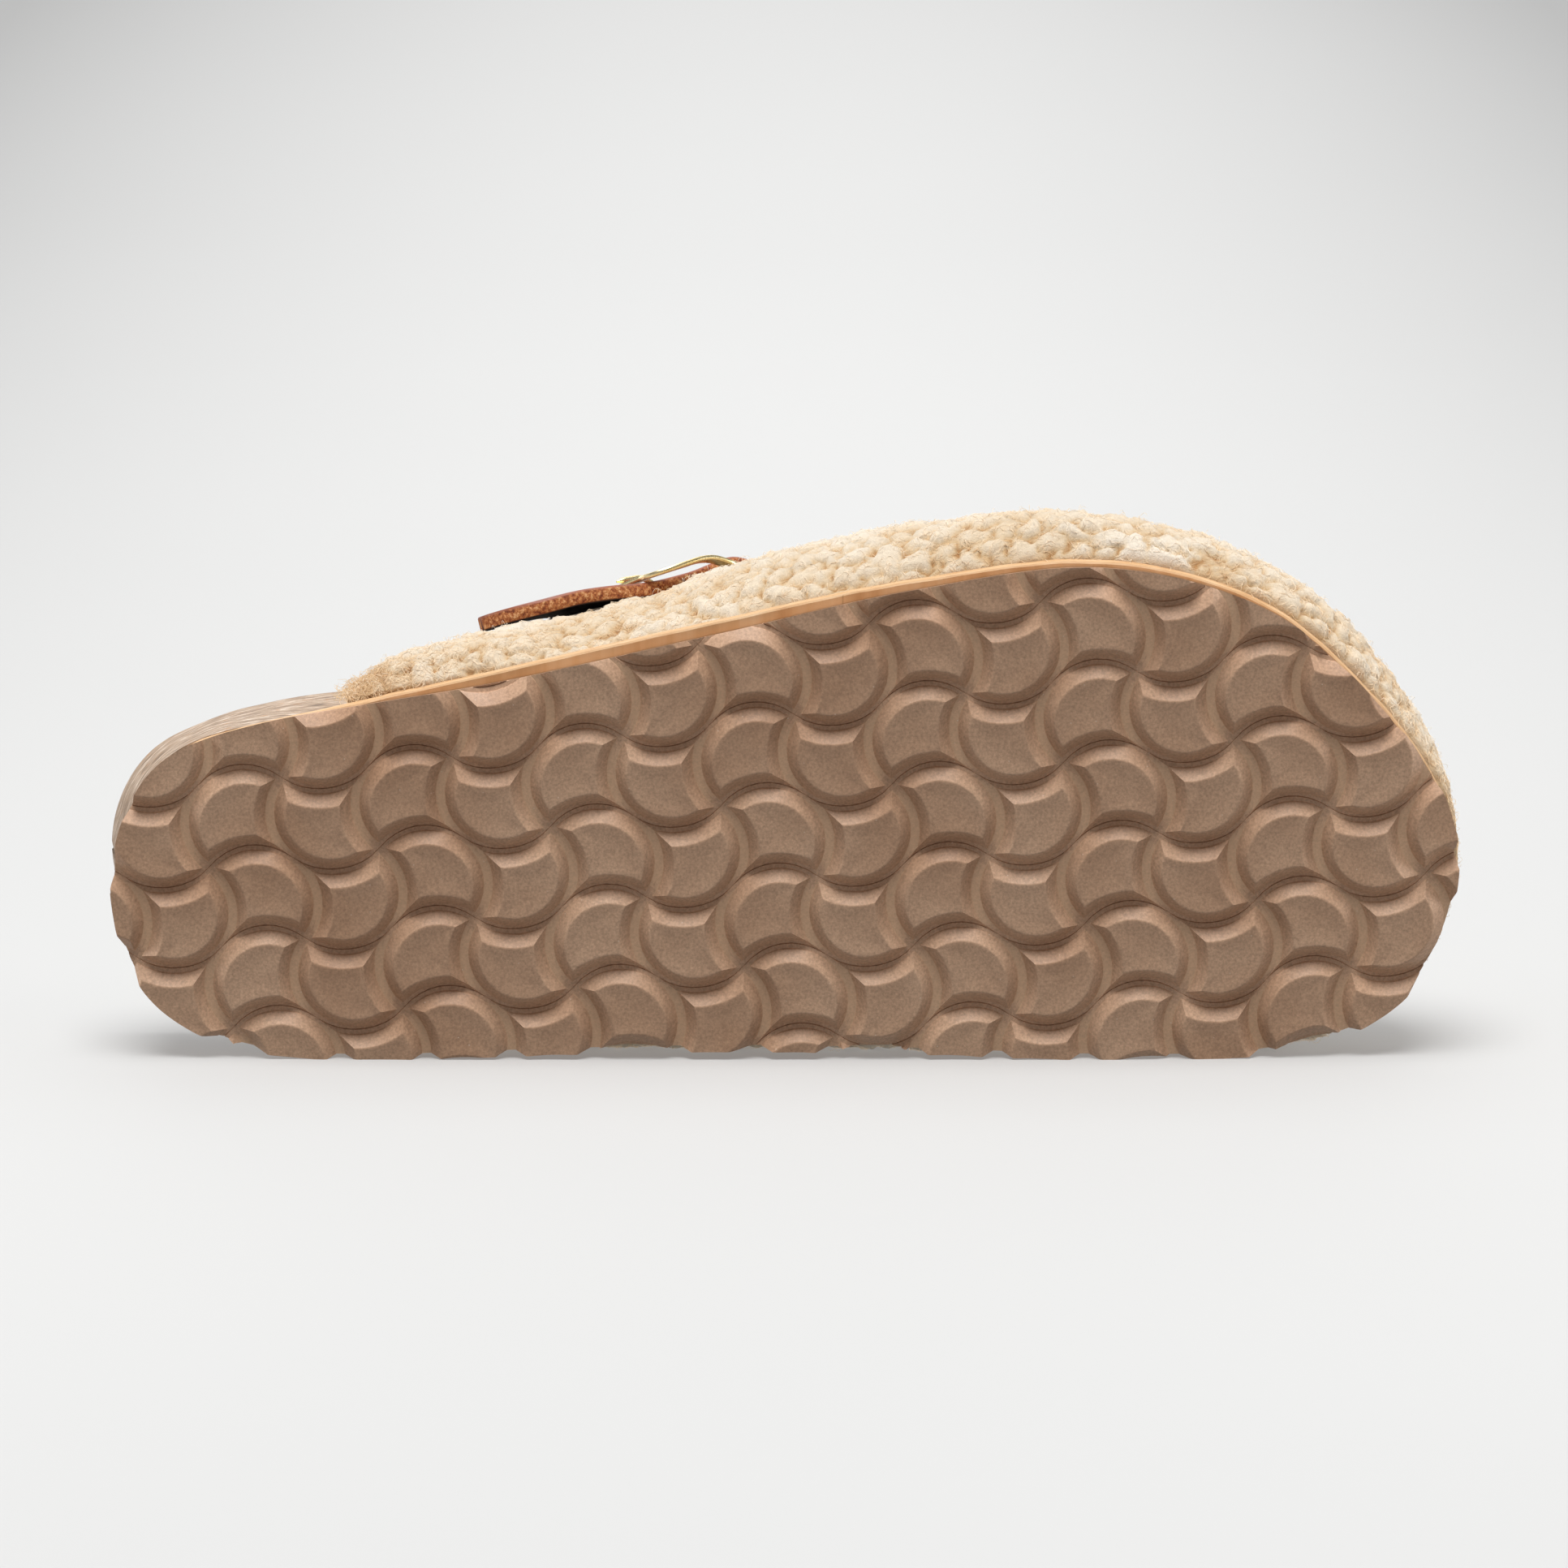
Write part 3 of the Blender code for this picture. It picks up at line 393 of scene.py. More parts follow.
def makeLeather():
    # Oiled cognac cowhide: smooth grained face, raw cut edge with orange and dark fibres, matt flesh side
    # painted near-black as the shade under strap and tab
    leather, tree, shader = newMaterial("cognacCowhide", IOR=1.5)
    place = addNode(tree, "TexCoord", "Object")
    raw = addNode(tree, "Attribute", "Fac", attribute_name="raw")
    fleshAndShade = addNode(tree, "Attribute", "Fac", attribute_name="fleshAndShade")
    pores = addNode(tree, "TexVoronoi", "Distance", {"Vector": place, "Scale": millimetres(0.9)})
    cloud = addNode(tree, "TexNoise", "Fac", {"Vector": place, "Scale": millimetres(9), "Detail": 4.0})
    fine = {"Vector": place, "Scale": millimetres(0.9), "Detail": 5.0, "Roughness": 0.75}
    fibre = addNode(tree, "TexNoise", "Fac", fine)
    face = addNode(tree, "ValToRGB", "Color", {"Fac": cloud}, ((0.3, "#7A3D28"), (0.7, "#A05A3C")))
    tones = (0.36, "#6A2F18"), (0.64, "#F6C592"), (0.46, "#A85C33"), (0.55, "#CE8850")
    cut = addNode(tree, "ValToRGB", "Color", {"Fac": fibre}, tones)
    both = addNode(tree, "Mix", 2, {0: raw, 6: face, 7: cut}, data_type="RGBA")
    # painted shade: the underside is coloured near-black, where shade falls under strap and tab
    hide = addNode(tree, "Mix", 2, {0: fleshAndShade, 6: both, 7: toLinear("#2A1D17")}, data_type="RGBA")
    matt = addNode(tree, "Math", 0, {0: raw, 1: fleshAndShade}, operation="ADD")
    gloss = addNode(tree, "MapRange", "Result", {"Value": matt, "To Min": 0.42, "To Max": 0.95})
    grain = addNode(tree, "Bump", "Normal", {"Height": pores, "Strength": 0.25, "Distance": 0.0002})
    loose = {"Height": fibre, "Strength": raw, "Distance": 0.0006, "Normal": grain}
    frayed = addNode(tree, "Bump", "Normal", loose)
    plug(shader, Base_Color=hide, Roughness=gloss, Normal=frayed)
    return leather


def makeBrass():
    # Polished brass stamping: pale gold, fine rub marks that break up the reflection
    brass, tree, shader = newMaterial("polishedBrass", Metallic=1.0)
    place = addNode(tree, "TexCoord", "Object")
    stretch = [millimetres(size) for size in (6, 0.5, 6)]
    rub = addNode(tree, "Mapping", "Vector", {"Vector": place, "Scale": stretch})
    rubbed = addNode(tree, "TexNoise", "Fac", {"Vector": rub, "Scale": 1.0, "Detail": 3.0})
    tarnish = addNode(tree, "TexNoise", "Fac", {"Vector": place, "Scale": millimetres(5), "Detail": 3.0})
    colour = addNode(tree, "ValToRGB", "Color", {"Fac": tarnish}, ((0.3, "#E2C98A"), (0.7, "#F8EABF")))
    gloss = addNode(tree, "MapRange", "Result", {"Value": rubbed, "To Min": 0.16, "To Max": 0.38})
    bump = addNode(tree, "Bump", "Normal", {"Height": rubbed, "Strength": 0.12, "Distance": 0.0001})
    plug(shader, Base_Color=colour, Roughness=gloss, Normal=bump)
    return brass


foam = makeFoam()
tan = makeTan()
cork = makeCork()
suede = makeSuede()
fleece = makeFleece("curlyFleece", 0.8, 0.75, 0)  # fibres are too fine to show, so drawn 0.8 mm wide
# painted light: the curls and stray hairs glow faintly
curlFleece = makeFleece("fleeceCurls", 0.5, 0, 0.14)
leather = makeLeather()
brass = makeBrass()
print("materials made")


# Outsole: a slab of tread tiles cut to the sole's outline
tread = {
    "pitch": 16.7,
    "turn": math.radians(7.5),
    "node": (99.8, 66.4),  # along and across of one corner of the tile grid
    "rows": (range(-8, 12), range(-5, 7)),
    "arcSteps": 8,
    "groove": ((0, 2.11), (0.1, 2.1), (0.84, 2.08), (0.96, 1.95)),  # inset, depth
    "bevel": ((2.85, 0.12), (3.05, 0.03), (3.3, 0)),
    "dish": ((4.2, 0.09), (5.4, 0.2), (6.8, 0.28)),
    "crack": (1.3, 0.8, 0.4),  # extra depth of the groove's first rings where it runs along the shoe
    "rim": ((0, -0.3), (0, 0.08), (-0.45, 1.3), (-1.5, 4.6)),  # outward, height
    "stations": 420,
    "slabTop": 8.0,
    "near": 0.001,  # points and levels nearer than this are the same
    "crackShade": (0.7, 0.02, 0.2),  # painted shade: how much darker the crack's colour is kept, where it starts, over which depth
}


def tileOutline(inset):  # a disc partly covered by two neighbours: round back and hollow front
    pitch = tread["pitch"]
    steps = tread["arcSteps"]
    convex = pitch / math.sqrt(2) - inset
    concave = pitch / math.sqrt(2) + inset
    cornerB = (concave**2 - convex**2 - pitch**2) / (2 * pitch)
    cornerA = math.sqrt(convex**2 - cornerB**2)
    tip = (math.sqrt(max(2 * concave**2 - pitch**2, 0)) - pitch) / 2
    corner = math.atan2(cornerB, cornerA)
    tipTurn = math.atan2(tip, tip + pitch)
    cornerTurn = math.atan2(cornerA, cornerB + pitch)

    def arc(centre, radius, start, end, count):
        turns = np.linspace(start, end, count + 1)[:-1]
        return np.stack([centre[0] + radius * np.cos(turns), centre[1] + radius * np.sin(turns)], -1)

    back = arc((0, 0), convex, corner, math.pi / 2 - corner, 2 * steps)
    left = arc((-pitch, 0), concave, cornerTurn, tipTurn, steps)
    below = arc((0, -pitch), concave, math.pi / 2 - tipTurn, math.pi / 2 - cornerTurn, steps)
    return np.concatenate([back, left, below])


def tileSlab():
    toe = np.array([math.cos(tread["turn"]), -math.sin(tread["turn"])])
    inner = np.array([math.sin(tread["turn"]), math.cos(tread["turn"])])
    node = np.array([tread["node"][0], sole["innerLine"] - tread["node"][1]])
    profile = tread["groove"] + tread["bevel"] + tread["dish"]
    shapes = [(tileOutline(inset), height) for inset, height in profile]
    slab = bmesh.new()
    for i in tread["rows"][0]:
        for j in tread["rows"][1]:
            middle = node + tread["pitch"] * ((i + 0.5) * toe + (j + 0.5) * inner)
            wayA = toe * (1 if j % 2 else -1)
            wayB = inner * (-1 if i % 2 else 1)
            rings = []
            for shape, height in shapes:
                flat = middle + shape[:, :1] * wayA + shape[:, 1:] * wayB
                rings.append([slab.verts.new((x, y, height)) for x, y in flat])
            for low, high in zip(rings, rings[1:]):
                for k in range(len(low)):
                    slab.faces.new((low[k - 1], low[k], high[k], high[k - 1]))
            slab.faces.new(rings[-1])
    bmesh.ops.remove_doubles(slab, verts=slab.verts, dist=tread["near"])
    sunk = []
    cracked = tread["groove"][: len(tread["crack"])]
    for vert in slab.verts:
        level = [abs(vert.co.z - height) < tread["near"] for _, height in cracked]
        if any(level):
            ways = [side.other_vert(vert).co - vert.co for side in vert.link_edges]
            ways = [way for way in ways if abs(way.z) < tread["near"]]
            share = min(((way.x * toe[0] + way.y * toe[1]) / way.length) ** 2 for way in ways)
            sunk.append((vert, tread["crack"][level.index(True)] * share**2))
    for vert, extra in sunk:
        vert.co.z += extra
    rim = [e for e in slab.edges if e.is_boundary]
    raised = bmesh.ops.extrude_edge_only(slab, edges=rim)["geom"]
    for vert in raised:
        if isinstance(vert, bmesh.types.BMVert):
            vert.co.z = tread["slabTop"]
    bmesh.ops.edgeloop_fill(slab, edges=[e for e in slab.edges if e.is_boundary])
    bmesh.ops.recalc_face_normals(slab, faces=slab.faces)
    mesh = bpy.data.meshes.new("tileSlab")
    slab.to_mesh(mesh)
    slab.free()
    return mesh


def soleRings(levels, stations):  # rings across the sole, each level an outward move and a height
    share = stationsOf(stations)
    outer = [liftFlat(edge(share, np.zeros_like(share) + out), high) for out, high in levels]
    inner = [liftFlat(edge(2 - share, np.zeros_like(share) + out), high) for out, high in levels]
    return np.stack(outer + inner[::-1], 1)


def makeOutsole():
    cutRings = soleRings(tread["rim"], tread["stations"])
    cutter = bpy.data.objects.new("soleCutter", meshOf("soleCutter", cutRings, loftFaces(cutRings.shape)))
    faceOut(cutter.data)
    slab = bpy.data.objects.new("tileSlab", tileSlab())
    for obj in (cutter, slab):
        bpy.context.scene.collection.objects.link(obj)
    cut = slab.modifiers.new("cut", "BOOLEAN")
    cut.operation = "INTERSECT"
    cut.solver = "MANIFOLD"
    cut.object = cutter
    mesh = bpy.data.meshes.new_from_object(slab.evaluated_get(bpy.context.evaluated_depsgraph_get()))
    for obj in (cutter, slab):
        bpy.data.objects.remove(obj, do_unlink=True)
    flat = np.zeros(len(mesh.vertices) * 3)
    mesh.vertices.foreach_get("co", flat)
    flat = flat.reshape(-1, 3)
    bottom = tread["groove"][0][1]
    darker, start, deep = tread["crackShade"]
    # painted shade: the depth mark falls again down in the crack, which keeps the pale dust out of it
    depth = np.clip(flat[:, 2] / bottom, 0, 1) - darker * np.clip((flat[:, 2] - bottom - start) / deep, 0, 1)
    laid = toRow(flat)
    laid[:, 2] = np.maximum(laid[:, 2], 0)  # the lugs' edge is pressed flat on the floor
    mesh.vertices.foreach_set("co", laid.ravel())
    mesh.name = "outsole_tread"
    obj = addPiece("outsole_tread", mesh, foam, "foam", ["outsole"], sharp=32, marks={"depth": depth})
    obj.modifiers.new("flatPads", "WEIGHTED_NORMAL").keep_sharp = True
    return obj


makeOutsole()


# Tan layer, footbed and insole, lofted from heel to toe
layer = {
    "stations": 420,
    "uneven": 0.07,  # a cut edge is never quite even
    "profile": ((-0.3, 4.8), (0, 5.05), (0, 6.5), (-0.35, 6.8)),  # outward, height
}
footbed = {
    "stations": 240,
    "sink": 0.2,  # its foot is this far below the upper's seat
    "wallSteps": 9,
    "dent": 0.12,
    "rimRound": 1.5,
    "rimSteps": (0.35, 0.7),  # shares of the rim's quarter turn
    "columns": 25,
    "dish": 3.5,  # power of the rise from the bed's middle to its rims
}
insole = {
    "stations": 300,
    "ends": 6.0,  # distance from heel and toe
    "columns": 27,
    "wide": 0.86,  # share of the bed's width
    "taper": 0.99,  # the face's share of the underside's width
    "lift": (0.1, 1.9),  # underside and face above the cork
}


def makeLayer():
    share = stationsOf(layer["stations"])
    along = alongOf(np.pi * share)
    nap = layer["uneven"] * wobble(liftFlat(edge(share), 0.0), 9, 3)
    sides = []
    for lap, column in ((share, "outer"), (2 - share, "inner")):
        out = read(edgeLayer, column, along) + nap
        sides.append([liftFlat(edge(lap, out + inset), level) for inset, level in layer["profile"]])
    rings = np.stack(sides[0] + sides[1][::-1], 1)
    run = np.repeat(runOf(edge(share))[:, None], rings.shape[1], 1)
    marks = {"run": run, "rise": rings[..., 2]}
    return addLoft("midsole_edge", rings, tan, "tan_layer", ["midsole"], marks=marks)


def bedLevel(along, share, rims):
    bed = read(footbedForm, "bed", along)
    return bed + (np.where(share < 0, rims[0], rims[1]) - bed) * np.abs(share) ** footbed["dish"]


def bedPoints(share, along, rims, across, lift):
    rimEdge = read(footbedForm, "rimEdge", along) - footbed["rimRound"]
    outer = edge(share, rimEdge)
    inner = edge(2 - share, rimEdge)
    return [liftFlat(outer + (inner - outer) * (c + 1) / 2, bedLevel(along, c, rims) + lift) for c in across]


def makeFootbed():
    share = stationsOf(footbed["stations"])
    along = alongOf(np.pi * share)
    rims = read(footbedForm, "rimOut", along), read(footbedForm, "rimIn", along)
    foot = read(footbedForm, "footOut", along)
    rim = read(footbedForm, "rimEdge", along)
    seat, sink, bend = sole["seat"], footbed["sink"], footbed["rimRound"]
    sides = []
    for lap, top in ((share, rims[0]), (2 - share, rims[1])):
        wall = []
        for t in np.linspace(0, 1, footbed["wallSteps"]):
            dent = footbed["dent"] * wobble(liftFlat(edge(lap), 30 * t), 7, 5)
            out = foot + (rim - foot) * t + dent * math.sin(math.pi * t)
            wall.append(liftFlat(edge(lap, out), seat - sink + (top - bend - seat + sink) * t))
        for t in footbed["rimSteps"]:
            turn = t * math.pi / 2
            within = edge(lap, rim - bend * (1 - math.cos(turn)))
            wall.append(liftFlat(within, top - bend * (1 - math.sin(turn))))
        sides.append(wall)
    bed = bedPoints(share, along, rims, sharesAcross(footbed["columns"]), 0)
    rings = np.stack(sides[0] + bed + sides[1][::-1], 1)
    marks = {"run": np.repeat(runOf(edge(share))[:, None], rings.shape[1], 1), "rise": rings[..., 2]}
    return addLoft("footbed_cork", rings, cork, "cork", ["footbed"], marks=marks)


def makeInsole():
    share = stationsOf(insole["stations"])
    along = alongOf(np.pi * share)
    keep = (along > insole["ends"]) & (along < sole["length"] - insole["ends"])
    share, along = share[keep], along[keep]
    rims = read(footbedForm, "rimOut", along), read(footbedForm, "rimIn", along)
    across = insole["wide"] * sharesAcross(insole["columns"])
    under = bedPoints(share, along, rims, across, insole["lift"][0])
    over = bedPoints(share, along, rims, insole["taper"] * across, insole["lift"][1])
    return addLoft("insole_suede", np.stack(under + over[::-1], 1), suede, "suede", ["insole"])


makeLayer()
makeFootbed()
makeInsole()


# Surface of the upper, on which strap, buckle and fleece are laid
upperShell = {
    "footOut": -0.5,
    "bendOut": 0.5,
    "bendIn": 0.45,
    "rear": 46.0,
    "throat": 126.0,
    "spinePull": 40.0,
    "spineBreak": 165.0,
    "wall": 3.5,
    "ribs": 560,
    "steps": 140,
    "liningEvery": 4,  # the lining has a quarter of the outside's steps
    "normalStep": 1.5,  # the surface's direction is taken over this distance
    "samples": 80,  # points on each half of a rib
    "noArea": 0.004,  # a cell of the ridge smaller than this has no direction of its own
}


def ribs(laps):  # lines from the sole's edge up to the ridge
    laps = np.asarray(laps, float)
    along = alongOf(np.pi * np.minimum(laps, 2 - laps))
    outer = laps <= 1

    def pick(column):
        return np.where(outer, read(upperForm, column + "Out", along), read(upperForm, column + "In", along))

    swell, widest, full = pick("swell"), pick("widest"), pick("full")[:, None, None]
    bend = np.where(outer, upperShell["bendOut"], upperShell["bendIn"])
    pull = np.clip((along - upperShell["spineBreak"]) / (sole["length"] - upperShell["spineBreak"]), 0, None)
    topAlong = along - upperShell["spinePull"] * pull**2
    topAcross = sole["innerLine"] - read(upperForm, "across", topAlong)
    top = np.stack([topAlong, topAcross, read(upperForm, "ridge", topAlong)], -1)[:, None]
    foot = liftFlat(edge(laps, np.full(len(laps), upperShell["footOut"])), sole["seat"])[:, None]
    knee = liftFlat(edge(laps, swell), sole["seat"] + bend * (widest - sole["seat"]))[:, None]
    wide = liftFlat(edge(laps, swell), widest)[:, None]
    crown = np.concatenate([wide[..., :2], top[..., 2:]], -1)
    t = np.linspace(0, 1, upperShell["samples"])[None, :, None]
    low = (1 - t) ** 2 * foot + 2 * t * (1 - t) * knee + t**2 * wide
    weight = 2 * full * t * (1 - t)
    high = ((1 - t) ** 2 * wide + weight * crown + t**2 * top) / ((1 - t) ** 2 + weight + t**2)
    return np.concatenate([low, high[:, 1:]], 1)


def spaced(line, count):
    run = runOf(line)
    wanted = np.linspace(0, run[-1], count + 1)
    return np.stack([np.interp(wanted, run, line[:, axis]) for axis in range(3)], -1)


def cutAt(line, height):
    above = np.nonzero(line[:, 2] > height)[0]
    if len(above) == 0:
        return line
    last = above[0]
    share = (height - line[last - 1, 2]) / (line[last, 2] - line[last - 1, 2])
    return np.concatenate([line[:last], [line[last - 1] + share * (line[last] - line[last - 1])]])


archAlong = np.arange(50, 186, 1.0)
archReach = np.arange(-110, 111, 1.0)  # distance round the upper from its ridge, minus on the outer side


def archGrid():
    laps = turnOf(archAlong) / np.pi
    grid = np.empty((len(archAlong), len(archReach), 3))
    for k, (outer, inner) in enumerate(zip(ribs(laps), ribs(2 - laps))):
        line = np.concatenate([outer, inner[-2::-1]])
        run = runOf(line)
        run -= run[len(outer) - 1]
        for axis in range(3):
            grid[k, :, axis] = np.interp(archReach, run, line[:, axis])
    return grid


archPoints = archGrid()


def onUpper(place):  # point of the upper at a place, which is a length and a distance from the ridge
    inside = 1.001  # keeps the last cell's far corner inside the grid
    along = np.clip(place[..., 0] - archAlong[0], 0, len(archAlong) - inside)
    reach = np.clip(place[..., 1] - archReach[0], 0, len(archReach) - inside)
    i, j = along.astype(int), reach.astype(int)
    a, b = (along - i)[..., None], (reach - j)[..., None]
    near = archPoints[i, j] * (1 - b) + archPoints[i, j + 1] * b
    far = archPoints[i + 1, j] * (1 - b) + archPoints[i + 1, j + 1] * b
    return near * (1 - a) + far * a


def overUpper(place, lift):
    step = upperShell["normalStep"]
    roundWay = onUpper(place + (0, step)) - onUpper(place - (0, step))
    longWay = onUpper(place + (step, 0)) - onUpper(place - (step, 0))
    normal = np.cross(longWay, roundWay)
    normal /= np.linalg.norm(normal, axis=-1, keepdims=True)
    return onUpper(place) + normal * np.asarray(lift)[..., None]


# Strap and buckle
strap = {
    "width": 22.0,
    "thick": 2.8,
    "round": 0.4,
    "tip": (0.03, 0.12, 0.3, 0.6, 1.0, 1.6, 2.4, 3.4, 4.6, 6.0, 7.5, 9.2),
    "columns": 15,
    "slot": (36.0, 44.8),  # hole for the pin: from, to
    "slotHalf": 0.16,  # share of the strap's half width
    "slotClear": 0.5,  # no other station is nearer to the slot's ends
    "step": 1.2,
    "routeSteps": 400,
    "uneven": 0.12,  # hand-cut edge
    "wavy": 0.08,
}
cutEdge = {  # of a leather band
    "profile": (  # share of the thickness, share of the half width, rawness
        (0.1, 0.985, 1.0), (0.35, 1.0, 1.0), (0.62, 1.0, 1.0), (0.8, 0.997, 0.9), (0.92, 0.985, 0.1),
    ),
    "leastFace": 0.2,  # share of the half width that stays flat
}
buckle = {
    "freeBar": 29.5,  # along the strap from its free end
    "hinge": 48.5,
    "bar": (2.6, 1.0),
    "round": 5.0,
    "clear": 1.6,
    "bendSteps": 13,
    "sideSteps": 10,
    "barSides": 16,
    "easing": 0.35,  # power that squares the bar's section, 1 would be an ellipse
}
pin = {"radius": 0.6, "steps": 40, "sides": 14, "tip": 0.35, "taper": 1.4}
tab = {
    "length": 6.5,
    "width": 15.0,
    "thick": 1.0,
    "gap": 0.15,
    "lift": (1.4, 0.4),  # from the hinge bar down to the upper
    "round": 0.25,
    "rows": 12,
    "columns": 11,
}
strapRoute = table(
    "along reach",
    (73, -66), (86, -61.5), (100, -54.5), (112, -45), (121, -33), (128, -18), (133, 1), (136, 22),
    (137.5, 40), (138, 56),
)
strapLift = table(
    "along lift",
    (0, 1.5), (8, 2.2), (16, 2.6), (22, 2.1), (28, 1.1), (34, 0.8), (39, 0.9), (44, 2.0), (48, 3.0),
    (52, 2.9), (58, 2.0), (66, 1.3), (74, 1.0), (200, 1.0),
)
frameLift = table(
    "along lift",
    (26, 5.0), (31, 4.8), (36, 4.8), (39, 4.9), (41, 4.6), (43, 3.7), (45, 2.7), (46.5, 2.1),
    (48, 1.9), (52, 1.9),
)
pinRoute = table(
    "along lift",
    (46.9, 1.6), (44.6, 1.25), (41.8, 2.4), (38.5, 4.2), (35.0, 6.1), (32.0, 6.25), (28.9, 6.15),
)


def strapLine():
    steps = np.linspace(0, len(strapRoute["along"]) - 1, strap["routeSteps"])
    knots = np.arange(len(strapRoute["along"]), dtype=float)
    line = np.stack([smoothCurve(knots, strapRoute[column], steps) for column in ("along", "reach")], -1)
    run = runOf(line)
    wanted = np.arange(0, run[-1])
    line = np.stack([np.interp(wanted, run, line[:, axis]) for axis in range(2)], -1)
    way = np.gradient(line, axis=0)
    return line, way / np.linalg.norm(way, axis=1, keepdims=True)


strapMiddle, strapWay = strapLine()


def strapPlace(at, aside):  # place on the upper, aside is plus towards the heel
    marks = np.arange(len(strapMiddle))
    at = np.asarray(at, float)
    middle = np.stack([np.interp(at, marks, strapMiddle[:, axis]) for axis in range(2)], -1)
    ahead = np.stack([np.interp(at, marks, strapWay[:, axis]) for axis in range(2)], -1)
    beyond = np.minimum(at, 0) + np.maximum(at - marks[-1], 0)
    across = np.stack([-ahead[..., 1], ahead[..., 0]], -1)
    return middle + ahead * beyond[..., None] + across * np.asarray(aside, float)[..., None]


def bandRings(lengths, half, lifts, thick, shares, bend):
    # closed sections of a leather band: underside, cut edge, face, cut edge; the skin's line on top is smooth
    inset = np.maximum(half - bend, half * cutEdge["leastFace"])
    # the underside's mark is the matt flesh side and also painted shade
    rings, raw, fleshAndShade = [], [], []
    for level, side in ((0.0, 1), (thick, -1)):
        for share in shares[::side]:
            rings.append((inset * share, lifts + level))
            raw.append(0.0)
            fleshAndShade.append(float(side > 0))
        for part, width, fibre in cutEdge["profile"][::side]:
            rings.append((half * side * width, lifts + part * thick))
            raw.append(fibre)
            fleshAndShade.append(0.0)
    aside = np.stack([a for a, _ in rings], 1)
    lift = np.stack([b for _, b in rings], 1)
    at = np.repeat(np.asarray(lengths)[:, None], aside.shape[1], 1)
    marks = {"raw": np.tile(raw, (len(lengths), 1)), "fleshAndShade": np.tile(fleshAndShade, (len(lengths), 1))}
    return overUpper(strapPlace(at, aside), lift), marks


def slottedFaces(shape, columns, rows):  # faces of the strap with a hole between its two faces
    grid = np.arange(shape[0] * shape[1]).reshape(shape[:2])
    quads = quadsOf(grid, True).reshape(shape[0] - 1, shape[1], 4)
    middle = columns // 2
    above = shape[1] // 2 + middle  # the face's columns run back
    keep = np.ones(quads.shape[:2], bool)
    for column in (middle - 1, middle, above - 1, above):
        keep[rows[0] : rows[1], column] = False
    low = grid[rows[0] : rows[1] + 1, middle - 1 : middle + 2]
    high = grid[rows[0] : rows[1] + 1, above - 1 : above + 2][:, ::-1]
    border = [(0, 0), (0, 1)] + [(k, 2) for k in range(len(low))] + [(-1, 1)]
    border += [(k, 0) for k in range(len(low) - 1, 0, -1)]
    walls = [[low[a], low[b], high[b], high[a]] for a, b in zip(border, border[1:] + border[:1])]
    return quads[keep].tolist() + walls + [grid[0].tolist(), grid[-1][::-1].tolist()]


def makeStrap():
    halfWide = strap["width"] / 2
    spread = np.arange(halfWide, len(strapMiddle) - 1, strap["step"])
    for end in strap["slot"]:
        spread = spread[abs(spread - end) > strap["slotClear"]]
    lengths = np.sort(np.concatenate([strap["tip"], spread, strap["slot"], [len(strapMiddle) - 1]]))
    tip = np.clip(lengths / halfWide, 0, 1)
    half = halfWide * np.sqrt(1 - (1 - tip) ** 2)
    half = half + strap["uneven"] * wobble(np.stack([lengths, half, 0 * half], -1), 11, 8)
    wavy = strap["wavy"] * wobble(np.stack([lengths, half, 0 * half], -1), 13, 9)
    lifts = read(strapLift, "lift", lengths) + wavy
    slotSides = [-strap["slotHalf"], strap["slotHalf"]]
    shares = np.sort(np.concatenate([sharesAcross(strap["columns"]), slotSides]))
    rings, marks = bandRings(lengths, half, lifts, strap["thick"], shares, strap["round"])
    rows = [int(np.argmin(abs(lengths - place))) for place in strap["slot"]]
    mesh = meshOf("strap_leather", toRow(rings), slottedFaces(rings.shape, len(shares), rows))
    return addPiece("strap_leather", mesh, leather, "leather", ["strap"], sharp=60, marks=marks)


def makeTab():
    start = buckle["hinge"] + buckle["bar"][0] / 2 + tab["gap"]
    lengths = np.linspace(start, start + tab["length"], tab["rows"])
    half = np.full(tab["rows"], tab["width"] / 2)
    lifts = np.linspace(*tab["lift"], tab["rows"])
    rings, marks = bandRings(lengths, half, lifts, tab["thick"], sharesAcross(tab["columns"]), tab["round"])
    return addLoft("buckle_tab_leather", rings, leather, "leather", ["buckle_tab"], sharp=60, marks=marks)


def framePlaces():  # length, distance aside and lift of each point round the frame's bar
    halfLong = (buckle["hinge"] - buckle["freeBar"]) / 2
    barWide, barThick = buckle["bar"]
    halfWide = strap["width"] / 2 + buckle["clear"] + barWide / 2
    bend = buckle["round"]
    path = []  # centre of the bend and the direction that faces out of the frame
    corners = ((1, 1), (-1, 1), (-1, -1), (1, -1))
    for quarter, (longSide, wideSide) in enumerate(corners):
        centre = np.array([longSide * (halfLong - bend), wideSide * (halfWide - bend)])
        for turn in np.linspace(quarter * np.pi / 2, (quarter + 1) * np.pi / 2, buckle["bendSteps"]):
            path.append((centre, turn))
        following = corners[(quarter + 1) % 4]
        onward = np.array([following[0] * (halfLong - bend), following[1] * (halfWide - bend)])
        for part in np.linspace(0, 1, buckle["sideSteps"])[1:-1]:
            path.append((centre + (onward - centre) * part, (quarter + 1) * np.pi / 2))
    places = []
    for centre, turn in path:
        middle = buckle["freeBar"] + halfLong + centre[0]
        level = float(read(frameLift, "lift", middle + bend * math.cos(turn)))
        for spin in np.linspace(0, 2 * np.pi, buckle["barSides"], endpoint=False):
            c, s = math.cos(spin), math.sin(spin)
            out = bend + math.copysign(abs(c) ** buckle["easing"], c) * barWide / 2
            up = math.copysign(abs(s) ** buckle["easing"], s) * barThick / 2
            places.append((middle + out * math.cos(turn), centre[1] + out * math.sin(turn), level + up))
    return np.array(places).reshape(len(path), buckle["barSides"], 3)


